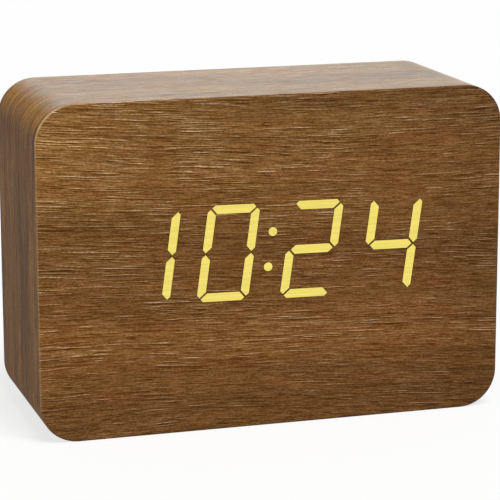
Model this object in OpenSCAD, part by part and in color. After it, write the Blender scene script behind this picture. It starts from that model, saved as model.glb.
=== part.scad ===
// Wood-look alarm clock with a glowing seven-segment display, a rear control panel,
// a battery bay and a radio time receiver.
// Millimetres. +Z is up, the front faces -Y, and the origin is on the table,
// under the middle of the case. Plane outlines are drawn from the middle of the case.

/* [Case] */
// Width of the case
case_w = 150; // [142:1:190]
// Height of the case
case_h = 105; // [101:1:140]
// Depth of the case, from the front face to the rear rim
case_d = 58; // [54:1:90]
// Radius of the four long corners of the case
corner_r = 12; // [6:0.5:16]
// Thickness of the wood-look veneer
veneer_t = 0.6; // [0.4:0.05:1]
// Width of the eased edge round the front and rear faces
edge_ease = 0.38; // [0.1:0.02:0.38]

/* [Carcass] */
// Thickness of the side walls under the veneer
wall_t = 9; // [7.5:0.5:10]
// Thickness of the front wall under the veneer
front_wall_t = 4; // [3:0.1:6]
// Radius of the cavity's corners
cavity_r = 5; // [3:0.5:8]
// Width of the ledge that the rear cover sits on
ledge_w = 3; // [1.5:0.5:4.5]
// Side of the square glue blocks in the cavity's corners
corner_block = 12; // [10:0.5:13]

/* [Digits] */
// Height between the centre lines of the top and bottom segments
digit_h = 27.8; // [22:0.1:30]
// Width between the centre lines of the left and right segments
digit_w = 14.1; // [11:0.1:16]
// Width of a segment
segment_w = 2.75; // [2:0.05:3.2]
// Gap across the mitre between two segments
segment_gap = 0.6; // [0.55:0.05:0.9]
// Cut across each outer corner of a digit, measured along its side
corner_cut = 1.8; // [1:0.1:2.4]
// Cut into the side of a digit where two upright segments meet, measured along the side
middle_cut = 2.1; // [1.2:0.1:2.6]
// Lean of the digits, degrees
digit_lean = 7.9; // [0:0.1:12]
// Mean distance between the two digits of a pair
digit_pitch = 25.7; // [23:0.1:27]
// How much wider than the mean the right pair is spaced, and how much narrower the left
pitch_step = 0.5; // [0:0.1:1]
// Fall of the row of digits towards the right, degrees
row_fall = 0.8; // [0:0.1:1.5]
// Growth of the digits towards the right, percent for every 10 mm
digit_growth = 0.5; // [0:0.1:1]
// Distance between the two middle digits
colon_pitch = 27.1; // [25:0.1:30]
// Diameter of a colon dot
colon_d = 2.8; // [2:0.1:3.4]
// Distance up from the lower colon dot to the upper one
colon_rise = 11.1; // [8:0.1:14]
// Height of the colon's middle above the middle of the digits
colon_lift = 0.5; // [-1:0.1:1]
// Display centre, right of the middle of the case
display_x = -1.4; // [-3:0.1:3]
// Display centre, above the middle of the case
display_z = 3.65; // [-3:0.05:4.5]

/* [Display stack] */
// Thickness of the light mask film
mask_t = 0.2; // [0.1:0.05:0.4]
// Overlap of the light mask behind each lit window
mask_lip = 0.2; // [0.1:0.05:0.4]
// Thickness of the diffuser film
diffuser_t = 0.4; // [0.2:0.05:0.8]
// Plastic left round the digits in the reflector block
block_margin = 4; // [3:0.5:5]
// Thickness of the reflector's flange behind the front wall
flange_t = 3.6; // [2.4:0.1:6]
// Reach of the flange past the block, left and right
flange_x = 6; // [5:0.5:7]
// Reach of the flange past the block, above and below
flange_z = 2.5; // [1.5:0.5:3]
// Extra width of a light well round its segment
well_grow = 0.15; // [0.05:0.05:0.17]
// Length of a surface-mounted lamp
lamp_l = 1.6; // [1:0.1:2.2]
// Width of a surface-mounted lamp
lamp_w = 0.8; // [0.5:0.1:1.2]
// Height of a surface-mounted lamp
lamp_h = 0.7; // [0.4:0.1:1]
// Thickness of the display board and the control board
board_t = 1.6; // [1:0.1:2]
// Length of the display's driver chip
driver_l = 18; // [14:0.5:20]
// Width of the driver chip's body
driver_w = 7.5; // [5:0.5:9]
// Height of the driver chip's body
driver_h = 2.3; // [1.4:0.1:3]
// Diameter of a capacitor
capacitor_d = 6.3; // [4:0.1:8]
// Height of a capacitor
capacitor_l = 7; // [5:0.5:9]

/* [Rear cover] */
// Depth of the cover's outer face inside the rear rim
cover_recess = 1.2; // [1.1:0.1:3]
// Thickness of the cover plate
cover_t = 2.4; // [2.3:0.1:3.2]
// Thickness of the cover's locating skirt
skirt_t = 1.6; // [1:0.1:2]
// Depth of the cover's locating skirt
skirt_d = 5; // [3:0.5:8]
// Thickness of the walls and floor of the battery bay
bay_wall = 1.6; // [1.2:0.1:2.2]

/* [Buttons] */
// Distance between two buttons
button_pitch = 16; // [15:0.5:17]
// Length of a button cap
button_w = 10; // [8:0.5:11]
// Height of a button cap, with full round ends
button_h = 5; // [4:0.5:6]
// Height of a button cap above the cover
button_proud = 0.8; // [0.5:0.1:1]
// Travel of a button
button_travel = 0.5; // [0.25:0.05:1]
// Width of the collar that holds a button behind the cover
collar_w = 1.2; // [0.8:0.1:1.6]
// Thickness of that collar
collar_t = 0.9; // [0.6:0.1:1.2]
// Side of a push switch's square housing
switch_w = 6; // [5:0.1:7]
// Height of a push switch's housing
switch_h = 3.2; // [2.6:0.1:5]
// Diameter of a push switch's stem
stem_d = 3.4; // [2.5:0.1:4]
// Room left between a pressed collar and the switch housing
press_room = 0.7; // [0.4:0.1:1.5]

/* [Control board] */
// Width of the control board
control_w = 100; // [97:1:104]
// Height of the control board
control_h = 20; // [18:0.5:22]
// Height of the board and its buttons above the middle of the case
control_z = 26; // [25:0.5:28]
// Distance of the socket and the microphone from the middle
port_x = 43; // [41:0.5:45]
// Half the distance between the board's screws, across
post_x = 33; // [32.5:0.5:35]
// Half the distance between the board's screws, up
post_z = 6.5; // [6:0.25:7]
// Length of the main chip
main_l = 10; // [8:0.5:12]
// Width of the main chip's body
main_w = 7.5; // [5:0.5:9]
// Height of the main chip's body
main_h = 1.8; // [1.2:0.1:2.4]
// Diameter of the crystal's can
crystal_d = 3; // [2:0.1:3.4]
// Length of the crystal's can
crystal_l = 8; // [6:0.5:9]
// Width of the power socket's mouth
usb_w = 7.5; // [6.9:0.1:8.4]
// Height of the power socket's mouth
usb_h = 2.5; // [2.2:0.1:3.2]
// Thickness of the power socket's shell
usb_wall = 0.3; // [0.2:0.05:0.4]
// Diameter of the microphone capsule
mic_d = 6; // [4:0.5:7]
// Height of the microphone capsule
mic_h = 4.2; // [3:0.1:4.6]
// Diameter of the microphone's sound hole
mic_hole_d = 1.6; // [1:0.1:2.5]

/* [Sounder] */
// Distance of the sounder's middle from the side of the cavity
sounder_in = 19.5; // [17.5:0.5:21.5]
// Diameter of the sounder disc
sounder_d = 20; // [16:0.5:22]
// Thickness of the sounder disc, and of its ceramic layer
sounder_t = 0.25; // [0.15:0.05:0.5]
// Height of the ring that carries the disc
sounder_ring_h = 2.2; // [1.5:0.1:3]
// Width of a sound slot
slot_w = 1.6; // [1:0.1:2]
// Distance between sound slots
slot_pitch = 3; // [2.5:0.1:4]

/* [Battery bay] */
// Height of the middle of the bay above the middle of the case
bay_z = -13; // [-14:0.5:-11]
// Diameter of a cell
cell_d = 10.5; // [9.5:0.1:11]
// Length of a cell with its nub
cell_l = 44.5; // [40:0.5:46]
// Gap between two cells
cell_gap = 0.8; // [0.5:0.1:1.2]
// Length of a contact spring pressed by its cell
spring_l = 4.2; // [3.6:0.1:6]
// Diameter of a contact spring's wire
spring_wire = 0.6; // [0.4:0.05:0.7]
// Turns of a contact spring
spring_turns = 3; // [2:0.5:3.5]
// Thickness of a contact plate
plate_t = 0.4; // [0.3:0.05:0.6]
// Height of the dimple on a contact plate
dimple_h = 0.6; // [0.4:0.1:1.2]
// Thickness of the battery door
door_t = 1.8; // [1.5:0.1:1.9]
// Width of the seat round the battery door
seat_w = 1.5; // [1.2:0.1:2.5]
// Width of a door tab
tab_w = 6; // [4:0.5:10]
// Thickness of a door tab, with a full round nose
tab_t = 1.2; // [1:0.1:1.3]
// Distance of each door tab from the middle of the door
tab_x = 15; // [12:0.5:18]
// Width of the door's latch tongue
latch_w = 12; // [8:0.5:16]
// Length of the slots that free the latch tongue
latch_l = 9; // [6:0.5:12]

/* [Radio] */
// Diameter of the ferrite rod
rod_d = 8; // [6:0.5:10]
// Length of the ferrite rod
rod_l = 60; // [54:1:66]
// Thickness of the coil on the rod
coil_t = 1.2; // [0.8:0.1:2]
// Length of the coil
coil_l = 18; // [12:1:30]
// Thickness of a saddle under and round the rod
saddle_t = 2; // [1.5:0.1:3]
// Length of a saddle along the rod
saddle_l = 6; // [4:0.5:8]
// Width of the receiver board
receiver_w = 26; // [20:1:28]
// Depth of the receiver board
receiver_d = 18; // [14:1:24]
// Thickness of the receiver board
receiver_t = 1.2; // [0.8:0.1:1.6]
// Length of the receiver chip
radio_l = 8.6; // [6:0.1:10]
// Width of the receiver chip's body
radio_w = 3.9; // [3:0.1:5]
// Height of the receiver chip's body
radio_h = 1.4; // [1:0.1:1.8]
// Diameter of the sleeved ends of the winding
winding_d = 0.7; // [0.4:0.1:1]
// Thickness of the foam pad under the receiver board
pad_t = 1; // [0.5:0.1:2]

/* [Fits] */
// Gap round a piece that drops into an opening
drop_fit = 0.25; // [0.1:0.05:0.4]
// Width of the dark groove round a lit window piece
window_fit = 0.15; // [0.02:0.01:0.16]
// Gap round a glued, sleeved or screwed piece
snug_fit = 0.03; // [0.02:0.01:0.06]
// Gap round a button cap and between its collar and the cover
button_fit = 0.15; // [0.1:0.05:0.2]
// Gap round the battery door, and over a cell
door_fit = 0.3; // [0.2:0.05:0.4]

/* [Hidden] */
$fn = 48;
over = 1;

// Planes along Y, from the front to the rear
front_y = -case_d / 2;
rear_y = case_d / 2;
mid_z = case_h / 2;
veneer_y = front_y + veneer_t;
wall_y = veneer_y + front_wall_t;
diffuser_y = veneer_y + mask_t;
reflector_y = diffuser_y + diffuser_t;
display_y = wall_y + flange_t;
display_back_y = display_y + board_t;
cover_out_y = rear_y - cover_recess;
cover_in_y = cover_out_y - cover_t;
collar_y = cover_in_y - button_fit - collar_t;
switch_top_y = collar_y - button_travel - press_room;
control_back_y = switch_top_y - switch_h;
control_front_y = control_back_y - board_t;

// Carcass
cavity_w = case_w - 2 * (veneer_t + wall_t);
cavity_h = case_h - 2 * (veneer_t + wall_t);
floor_z = -cavity_h / 2;
rebate_w = cavity_w + 2 * ledge_w;
rebate_h = cavity_h + 2 * ledge_w;
rebate_r = cavity_r + ledge_w;

// Display block: the lit figures show 10:24
LIT = [[1, 2], [0, 1, 2, 3, 4, 5], [0, 1, 3, 4, 6], [1, 2, 5, 6]];
// Each segment's place in half widths and half heights, and whether it stands
SEGMENTS = [
  [0, 1, false], [1, 0.5, true], [1, -0.5, true], [0, -1, false],
  [-1, -0.5, true], [-1, 0.5, true], [0, 0, false]
];
lean_x = tan(digit_lean);
// How far a tip is drawn back by the gap, and how far it lies outwards of its bar's middle
mitre = segment_gap / sqrt(2);
corner_out = (segment_w - corner_cut) / 2;
middle_out = (segment_w - middle_cut) / 2;
middle_tip = 0.7 * mitre;
tip_turn = tan(22.5);
block_w = colon_pitch + 2 * digit_pitch + digit_w + segment_w
        + lean_x * (digit_h + segment_w) + 2 * block_margin;
block_h = digit_h + segment_w + 2 * block_margin;
flange_w = block_w + 2 * flange_x;
flange_h = block_h + 2 * flange_z;
ear_inset = 4;
display_screw_xz = corners(block_w / 2 + flange_x / 2, block_h / 2 - ear_inset);
wall_skin = 1;

// Screws: head diameter, head height, shank diameter
SMALL_SCREW = [3.8, 1.3, 2];
COVER_SCREW = [5.6, 1.4, 2.8];
cover_screw_l = 12;
cover_screw_xz = corners(cavity_w / 2 - corner_block / 2, cavity_h / 2 - corner_block / 2);
head_room = 0.4;
post_d = 6;
post_bite = 4;
post_xz = [for (p = corners(post_x, post_z)) p + [0, control_z]];

// Battery bay: three cells lie across, and the outer two point the same way
CELLS = [1, 0, -1];
cell_pitch = cell_d + cell_gap;
bay_w = cell_l + 2 * plate_t + spring_l + dimple_h;
bay_h = 3 * cell_pitch;
door_in_y = cover_out_y - door_t;
cell_y = door_in_y - door_fit - cell_d / 2;
cell_room = 0.2;
trough_r = cell_d / 2 + cell_room;
bay_floor_y = cell_y - trough_r - bay_wall;
cusp_drop = 2;
plate_half = 0.34 * cell_d;
web_drop = 1.5;
lug_w = 2.4;
lug_l = 2.5;
nub_d = 3.8;
nub_l = 1;
cell_ease = 0.4;
dimple_d = 4;
spring_base_r = 3.3;
spring_tip_r = 2.1;
spring_steps = 8;
wire_sides = 6;

// Battery door: it tilts on the round noses of two tabs at its lower edge
door_w = bay_w + 2 * seat_w;
door_h = bay_h + 2 * seat_w;
door_r = 2;
door_low_z = bay_z - door_h / 2;
tab_reach = 0.4;
tab_rise = 0.1;
door_gap = 0.45;
tab_y = cover_in_y + tab_rise + tab_t / 2;
tab_z = door_low_z - tab_reach;
tab_slot_room = 0.36;
latch_slot = 1;
latch_nib = 1.2;
ridge_d = 0.8;
scoop_d = 16;
scoop_floor = 0.4;

// Radio: the rod lies on the floor of the cavity, with the receiver beside it
block_x = cavity_w / 2 - corner_block;
receiver_in = 16;
receiver_x = control_w / 2 - receiver_in;
receiver_y = -2;
rod_x = (receiver_x - receiver_w / 2 - block_x) / 2;
rod_y = receiver_y;
rod_z = floor_z + saddle_t + rod_d / 2;
saddle_x = rod_l / 3;
receiver_top_z = floor_z + pad_t + receiver_t;

// Chips: distance between leads, and the leads' own sizes
driver_pitch = 1.27;
main_pitch = 0.8;
radio_pitch = 1.1;
lead_reach = 0.9;
lead_t = 0.25;
chip_rise = 0.15;

// Power socket and switches
plug_recess = 1;
plug_room = 2;
plug_r = 1.5;
usb_mouth_y = cover_out_y - plug_recess;
usb_base = 2.5;
tongue_t = 0.6;
contact_pitch = 0.65;
contact_w = 0.36;
contact_t = 0.12;
stem_drop = 0.8;
stem_fit = 0.08;

// Ribbon between the boards, and single wires
sounder_x = cavity_w / 2 - sounder_in;
ribbon_x = 36;
ribbon_w = 12.7;
ribbon_t = 0.9;
ribbon_r = 4;
ribbon_low_z = 15;
socket_w = 15;
socket_h = 6;
socket_d = 5.5;
key_w = 1;
key_d = 0.6;
wire_d = 1.3;
wire_r = 2;
lead_x = bay_w / 2 - plate_t / 2;
lead_run = 4;
lead_inset = 2.5;
lead_top_z = control_z - control_h / 2 + lead_inset;
lead_spread = 1;
receiver_lead_w = 3 * wire_d;
receiver_lead_x = post_x + SMALL_SCREW[0] / 2 + receiver_lead_w / 2 + 2 * drop_fit;

function corners(x, z) = [for (i = [-x, x], k = [-z, z]) [i, k]];
function leaned(p) = [p[0] + p[1] * lean_x, p[1]];
function digit_x(d) = display_x + (d < 2 ? -1 : 1) * colon_pitch / 2
                    + (d == 0 ? pitch_step - digit_pitch : d == 3 ? pitch_step + digit_pitch : 0);
function segment_mid(i) = [SEGMENTS[i][0] * digit_w / 2, SEGMENTS[i][1] * digit_h / 2];
function segment_half(i) = (SEGMENTS[i][2] ? digit_h / 4 : digit_w / 2) - mitre;
function turned(p, stands) = stands ? [p[1], p[0]] : p;

// A point of an upright digit, in its place in the leaning row
function on_display(d, p) = let(
    from_mid = digit_x(d) - display_x,
    size = 1 + digit_growth / 1000 * from_mid,
    x = from_mid + size * (p[0] + p[1] * lean_x)
  ) [display_x + x, display_z + size * p[1] - x * tan(row_fall)];

// One end of a bar: outer shoulder, tip and inner shoulder, with both slants at 45 degrees
function bar_end(tip, out, grow) = let(
    reach = tip + grow * sqrt(2),
    side = segment_w / 2 + grow
  ) [[reach + out - side, side], [reach, out], [reach - out - side, -side]];
function both_ends(ahead, behind) =
  concat(ahead, [for (i = [2 : -1 : 0]) [-behind[i][0], behind[i][1]]]);

// Outline of a segment along its bar and outwards from it, grown all round
function segment_bar(i, grow) = let(
    stands = SEGMENTS[i][2],
    far = bar_end((stands ? digit_h : digit_w) / 2 + corner_out - mitre, corner_out, grow),
    near = bar_end(-middle_tip, middle_out, grow),
    middle = bar_end(digit_w / 2 + middle_out + middle_tip - 2 * mitre, 0, grow)
  ) stands ? both_ends(far, near)
  : SEGMENTS[i][1] == 0 ? both_ends(middle, middle) : both_ends(far, far);
function bar_point(i, p) = let(way = SEGMENTS[i])
  way[2] ? [way[0] * (digit_w / 2 + p[1]), sign(way[1]) * p[0]]
  : way[1] == 0 ? p : [p[0], way[1] * (digit_h / 2 + p[1])];

// Tube along points, as rings of equal count; no stretch of it runs along the axis given
function unit(v) = v / norm(v);
function ring_sides(path, i, axis) = let(
    ahead = unit(path[min(i + 1, len(path) - 1)] - path[max(i - 1, 0)]),
    side = unit(cross(ahead, axis))
  ) [side, cross(ahead, side)];
module tube(path, d, sides, axis) {
  rings = len(path);
  points = [for (i = [0 : rings - 1], k = [0 : sides - 1]) let(s = ring_sides(path, i, axis))
    path[i] + d / 2 * (cos(360 * k / sides) * s[0] + sin(360 * k / sides) * s[1])];
  walls = [for (i = [0 : rings - 2], k = [0 : sides - 1]) let(
      a = i * sides + k,
      b = i * sides + (k + 1) % sides
    ) each [[a, b, b + sides], [a, b + sides, a + sides]]];
  caps = [for (k = [1 : sides - 2]) each [
    [0, k + 1, k],
    [(rings - 1) * sides, (rings - 1) * sides + k, (rings - 1) * sides + k + 1]]];
  polyhedron(points, concat(walls, caps));
}

// Outline with four equal round corners
module rounded(w, h, r) {
  square([w - 2 * r, h], center = true);
  square([w, h - 2 * r], center = true);
  for (p = corners(w / 2 - r, h / 2 - r)) translate(p) circle(r);
}

// Outline drawn from the middle of the case, made solid between two planes along Y
module slab(y0, y1) {
  translate([0, y1, mid_z]) rotate([90, 0, 0]) linear_extrude(y1 - y0) children();
}

module at(x, y, z) {
  translate([x, y, mid_z + z]) children();
}

// Round bar along Y
module round_y(x, z, d, y0, y1) {
  at(x, y0, z) rotate([-90, 0, 0]) cylinder(d = d, h = y1 - y0);
}

// Rounded plate whose upper edge is eased all round
module eased_plate(w, h, r, t, ease) {
  flat = [[0, 0], [r, 0], [r, t - ease], [r - ease, t], [0, t]];
  x = w / 2 - r;
  z = h / 2 - r;
  if (x > 0 && z > 0) translate([-x, -z, 0]) cube([2 * x, 2 * z, t]);
  for (turn = [0, 180]) rotate(turn) {
    if (z > 0) translate([x, z, 0]) rotate([90, 0, 0]) linear_extrude(2 * z) polygon(flat);
    if (x > 0) translate([-x, z, 0]) rotate([90, 0, 90]) linear_extrude(2 * x) polygon(flat);
    translate([x, z, 0]) rotate_extrude(angle = 90) polygon(flat);
    translate([-x, z, 0]) rotate(90) rotate_extrude(angle = 90) polygon(flat);
  }
}

// Screw with a domed cross-slotted head on Z, and its shank below
module screw(size, shank_l) {
  head_r = size[0] / 2;
  head_h = size[1];
  shank_r = size[2] / 2;
  slot = 0.16 * size[0];
  difference() {
    rotate_extrude() polygon([
      [0, -shank_l], [0.3 * shank_r, -shank_l], [shank_r, -shank_l + 1.5 * shank_r],
      [shank_r, 0], [head_r, 0], [head_r, 0.45 * head_h], [0.85 * head_r, 0.8 * head_h],
      [0.55 * head_r, head_h], [0, head_h]
    ]);
    for (turn = [0, 90]) rotate(turn)
      translate([-0.55 * head_r, -slot / 2, 0.4 * head_h]) cube([1.1 * head_r, slot, head_h]);
  }
}

// Cross-section swept along Y, up in an arc, and along Y again: the outline's first
// axis lies in the plane of the bends, its second along X. Each stretch starts at a bend,
// and the upright one is two stretches that meet in its middle
module bent_run(x, start, run_y, end, r) {
  first = sign(run_y - start[0]);
  last = sign(end[0] - run_y);
  low = [run_y - first * r, start[1] + r];
  high = [run_y + last * r, end[1] - r];
  rise = 0.6 * (high[1] - low[1]);
  at(x, 0, 0) rotate([90, 0, 90]) {
    translate([low[0], start[1], 0]) rotate(first > 0 ? 180 : 0)
      straight(abs(low[0] - start[0])) children();
    translate([low[0], low[1], 0]) rotate(first > 0 ? -90 : 180)
      rotate_extrude(angle = 90) translate([r, 0]) children();
    translate([run_y, low[1], 0]) rotate(90) straight(rise) children();
    translate([run_y, high[1], 0]) rotate(-90) straight(rise) children();
    translate([high[0], high[1], 0]) rotate(last > 0 ? 90 : 0)
      rotate_extrude(angle = 90) translate([r, 0]) children();
    translate([high[0], end[1], 0]) rotate(last > 0 ? 0 : 180)
      straight(abs(end[0] - high[0])) children();
  }
}
module straight(l) {
  rotate([90, 0, 90]) linear_extrude(l) children();
}

module segment(digit, i, grow) {
  polygon([for (p = segment_bar(i, grow)) on_display(digit, bar_point(i, p))]);
}
module lit_outlines(grow) {
  for (d = [0 : 3], i = LIT[d]) segment(d, i, grow);
}
module all_outlines(grow) {
  for (d = [0 : 3], i = [0 : 6]) segment(d, i, grow);
}
function colon_xz(s) = [display_x, display_z]
                     + leaned([0, colon_lift + s * colon_rise / 2]);
module colon_outlines(grow) {
  for (s = [-1, 1]) translate(colon_xz(s)) circle(d = colon_d + 2 * grow);
}
module display_area(w, h) {
  translate([display_x, display_z]) square([w, h], center = true);
}

module wood_carcass() {
  color("#a07a4e") difference() {
    slab(veneer_y, rear_y - veneer_t)
      rounded(case_w - 2 * veneer_t, case_h - 2 * veneer_t, corner_r - veneer_t);
    slab(wall_y, rear_y) rounded(cavity_w, cavity_h, cavity_r);
    slab(cover_in_y, rear_y) rounded(rebate_w, rebate_h, rebate_r);
    slab(front_y, wall_y + over) display_area(block_w + 2 * drop_fit, block_h + 2 * drop_fit);
    for (p = display_screw_xz)
      round_y(p[0] + display_x, p[1] + display_z, SMALL_SCREW[2] + 2 * snug_fit,
              veneer_y + wall_skin, wall_y + over);
  }
}

module corner_blocks() {
  color("#d9b98a") difference() {
    slab(wall_y, cover_in_y) intersection() {
      rounded(cavity_w - 2 * snug_fit, cavity_h - 2 * snug_fit, cavity_r - snug_fit);
      for (p = cover_screw_xz) translate(p) square(corner_block, center = true);
    }
    for (p = cover_screw_xz)
      round_y(p[0], p[1], COVER_SCREW[2] + 2 * snug_fit,
              cover_in_y - cover_screw_l, cover_in_y + over);
  }
}

module veneer_wrap() {
  color("#7d5630") slab(veneer_y, rear_y - veneer_t) difference() {
    rounded(case_w, case_h, corner_r);
    rounded(case_w - 2 * veneer_t, case_h - 2 * veneer_t, corner_r - veneer_t);
  }
}

module front_veneer() {
  color("#76502a") difference() {
    at(0, veneer_y, 0) rotate([90, 0, 0])
      eased_plate(case_w, case_h, corner_r, veneer_t, edge_ease);
    slab(front_y - over, veneer_y + over) {
      lit_outlines(window_fit);
      colon_outlines(window_fit);
    }
  }
}

module rear_veneer() {
  color("#76502a") difference() {
    at(0, rear_y - veneer_t, 0) rotate([90, 0, 180])
      eased_plate(case_w, case_h, corner_r, veneer_t, edge_ease);
    slab(rear_y - veneer_t - over, rear_y + over) rounded(rebate_w, rebate_h, rebate_r);
  }
}

module lit_segments() {
  color("#f1de70") slab(front_y, veneer_y) lit_outlines(0);
}

module lit_colon() {
  color("#f1de70") slab(front_y, veneer_y) colon_outlines(0);
}

module light_mask() {
  color("#161616") slab(veneer_y, diffuser_y) difference() {
    display_area(block_w, block_h);
    all_outlines(-mask_lip);
    colon_outlines(-mask_lip);
  }
}

module diffuser_film() {
  color("#f4f1e6") slab(diffuser_y, reflector_y) display_area(block_w, block_h);
}

module segment_reflector() {
  color("#efefec") difference() {
    union() {
      slab(reflector_y, wall_y) display_area(block_w, block_h);
      slab(wall_y, display_y) display_area(flange_w, flange_h);
    }
    slab(reflector_y - over, display_y + over) {
      all_outlines(well_grow);
      colon_outlines(well_grow);
    }
    for (p = display_screw_xz)
      round_y(p[0] + display_x, p[1] + display_z, SMALL_SCREW[2] + 2 * drop_fit,
              wall_y - over, display_y + over);
  }
}

// Two lamps behind each segment and one behind each colon dot
module segment_lamps() {
  color("#f7e9a8") {
    for (d = [0 : 3], i = [0 : 6], s = [-0.5, 0.5]) {
      stands = SEGMENTS[i][2];
      p = on_display(d, segment_mid(i) + turned([s * segment_half(i), 0], stands));
      lamp(p[0], p[1], turned([lamp_l, lamp_w], stands));
    }
    for (s = [-1, 1]) lamp(colon_xz(s)[0], colon_xz(s)[1], [lamp_l, lamp_w]);
  }
}
module lamp(x, z, size) {
  at(x - size[0] / 2, display_y - lamp_h, z - size[1] / 2) cube([size[0], lamp_h, size[1]]);
}

module display_board() {
  color("#1d5c34") difference() {
    slab(display_y, display_back_y) display_area(flange_w, flange_h);
    for (p = display_screw_xz)
      round_y(p[0] + display_x, p[1] + display_z, SMALL_SCREW[2] + 2 * drop_fit,
              display_y - over, display_back_y + over);
  }
}

module display_screws() {
  color("#b9b9b4") for (p = display_screw_xz)
    at(p[0] + display_x, display_back_y, p[1] + display_z) rotate([-90, 0, 0])
      screw(SMALL_SCREW, board_t + flange_t + front_wall_t - wall_skin - snug_fit);
}

// Chip lying on XY, with gull-wing leads along both long sides
module chip(l, w, h, pitch) {
  leads = floor(l / pitch);
  lead_w = 0.45 * pitch;
  knee = lead_reach / 2;
  foot = lead_reach + lead_t;
  translate([-l / 2, -w / 2, chip_rise]) cube([l, w, h]);
  for (turn = [0, 180], i = [0 : leads - 1]) rotate(turn)
    translate([(i - (leads - 1) / 2) * pitch - lead_w / 2, w / 2, 0])
      rotate([90, 0, 90]) linear_extrude(lead_w)
        polygon([[0, h / 2], [0, h / 2 + lead_t], [knee + lead_t, h / 2 + lead_t],
                 [knee + lead_t, lead_t], [foot, lead_t], [foot, 0], [knee, 0], [knee, h / 2]]);
}

module driver_chip() {
  color("#202020") at(display_x, display_back_y, display_z) rotate([-90, 0, 0])
    chip(driver_l, driver_w, driver_h, driver_pitch);
}

module capacitors() {
  d = capacitor_d;
  l = capacitor_l;
  color("#27304a") for (s = [-1, 1])
    at(display_x - flange_w / 4, display_back_y, display_z + s * d) rotate([-90, 0, 0])
      rotate_extrude() polygon([
        [0, 0], [0.45 * d, 0], [0.5 * d, 0.05 * l], [0.5 * d, 0.15 * l], [0.46 * d, 0.2 * l],
        [0.5 * d, 0.25 * l], [0.5 * d, 0.95 * l], [0.45 * d, l], [0, l]
      ]);
}

// Housings that take the ends of the ribbon, one on each board
module ribbon_sockets() {
  color("#e8e2d0") {
    slab(display_back_y, display_back_y + socket_d) socket_outline(ribbon_low_z);
    slab(control_front_y - socket_d, control_front_y) socket_outline(control_z);
  }
}
module socket_outline(z) {
  translate([ribbon_x, z]) difference() {
    square([socket_w, socket_h], center = true);
    for (x = [-socket_w / 4, socket_w / 4])
      translate([x, socket_h / 2]) square([key_w, 2 * key_d], center = true);
  }
}

module ribbon_cable() {
  start = display_back_y + socket_d;
  end = control_front_y - socket_d;
  color("#8f9296")
    bent_run(ribbon_x, [start, ribbon_low_z], (start + end) / 2, [end, control_z], ribbon_r)
      square([ribbon_t, ribbon_w], center = true);
}

// Cover plate with its skirt, screw posts, sounder ring and battery bay in one moulding
module rear_cover() {
  color("#1b1b1c") difference() {
    union() {
      slab(cover_in_y, cover_out_y)
        rounded(rebate_w - 2 * drop_fit, rebate_h - 2 * drop_fit, rebate_r - drop_fit);
      slab(cover_in_y - skirt_d, cover_in_y) skirt_outline();
      for (p = post_xz) round_y(p[0], p[1], post_d, control_back_y, cover_in_y);
      round_y(sounder_x, bay_z, sounder_d + 2 * bay_wall, cover_in_y - sounder_ring_h
              - 2 * sounder_t, cover_in_y);
      slab(bay_floor_y, cover_in_y)
        translate([0, bay_z]) square([bay_w + 2 * bay_wall, bay_h + 2 * bay_wall], center = true);
    }
    bay_cut();
    door_cut();
    button_cuts();
    port_cuts();
    sounder_cuts();
    for (p = cover_screw_xz) {
      round_y(p[0], p[1], COVER_SCREW[2] + 2 * drop_fit, cover_in_y - over, rear_y);
      round_y(p[0], p[1], COVER_SCREW[0] + 2 * drop_fit, head_seat_y(), rear_y);
    }
    for (p = post_xz)
      round_y(p[0], p[1], SMALL_SCREW[2] + 2 * snug_fit, control_back_y - over,
              control_back_y + post_bite + head_room);
  }
}
function head_seat_y() = cover_out_y - COVER_SCREW[1] - head_room / 4;

// Skirt inside the cavity, broken at the corner blocks
module skirt_outline() {
  w = cavity_w - 2 * drop_fit;
  h = cavity_h - 2 * drop_fit;
  difference() {
    rounded(w, h, cavity_r - drop_fit);
    square([w - 2 * skirt_t, h - 2 * skirt_t], center = true);
    for (p = cover_screw_xz)
      translate(p) square(corner_block + 2 * drop_fit + 2 * snug_fit, center = true);
  }
}

// Three round troughs under an open bay, with slots for the two solder lugs
module bay_cut() {
  slab(cell_y - cusp_drop, cover_out_y + over)
    translate([0, bay_z]) square([bay_w, bay_h], center = true);
  for (row = CELLS)
    at(-bay_w / 2, cell_y, bay_z + row * cell_pitch) rotate([0, 90, 0])
      cylinder(r = trough_r, h = bay_w);
  for (s = [-1, 1])
    at(s * lead_x - plate_t, bay_floor_y - over, bay_z + s * cell_pitch - lug_w / 2 - drop_fit)
      cube([2 * plate_t, trough_r + bay_wall, lug_w + 2 * drop_fit]);
}

module door_cut() {
  slab(door_in_y, cover_out_y + over) translate([0, bay_z]) rounded(door_w, door_h, door_r);
  // Pockets for the tabs, open towards the inside
  for (s = [-1, 1])
    at(s * tab_x - tab_w / 2 - drop_fit, cover_in_y, tab_z - tab_t / 2 - drop_fit)
      cube([tab_w + 2 * drop_fit, tab_t + tab_rise + tab_slot_room,
            tab_reach + seat_w + tab_t / 2 + 2 * drop_fit]);
  // Gap in the seat for the latch's nib
  at(-latch_w / 2, cover_in_y - latch_nib, bay_z + bay_h / 2 - over)
    cube([latch_w, cover_t, over + seat_w]);
  // Finger scoop above the latch
  intersection() {
    round_y(0, bay_z + door_h / 2, scoop_d, door_in_y + scoop_floor, cover_out_y + over);
    slab(door_in_y, cover_out_y + over)
      translate([0, bay_z + door_h / 2 + scoop_d / 2]) square(scoop_d, center = true);
  }
}

module button_cuts() {
  for (i = [0 : 3])
    slab(cover_in_y - over, cover_out_y + over)
      translate([button_x(i), control_z]) pill(button_w + 2 * button_fit, button_h + 2 * button_fit);
}
function button_x(i) = (i - 1.5) * button_pitch;
module pill(w, h) {
  square([w - h, h], center = true);
  for (s = [-1, 1]) translate([s * (w - h) / 2, 0]) circle(d = h);
}

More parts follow.
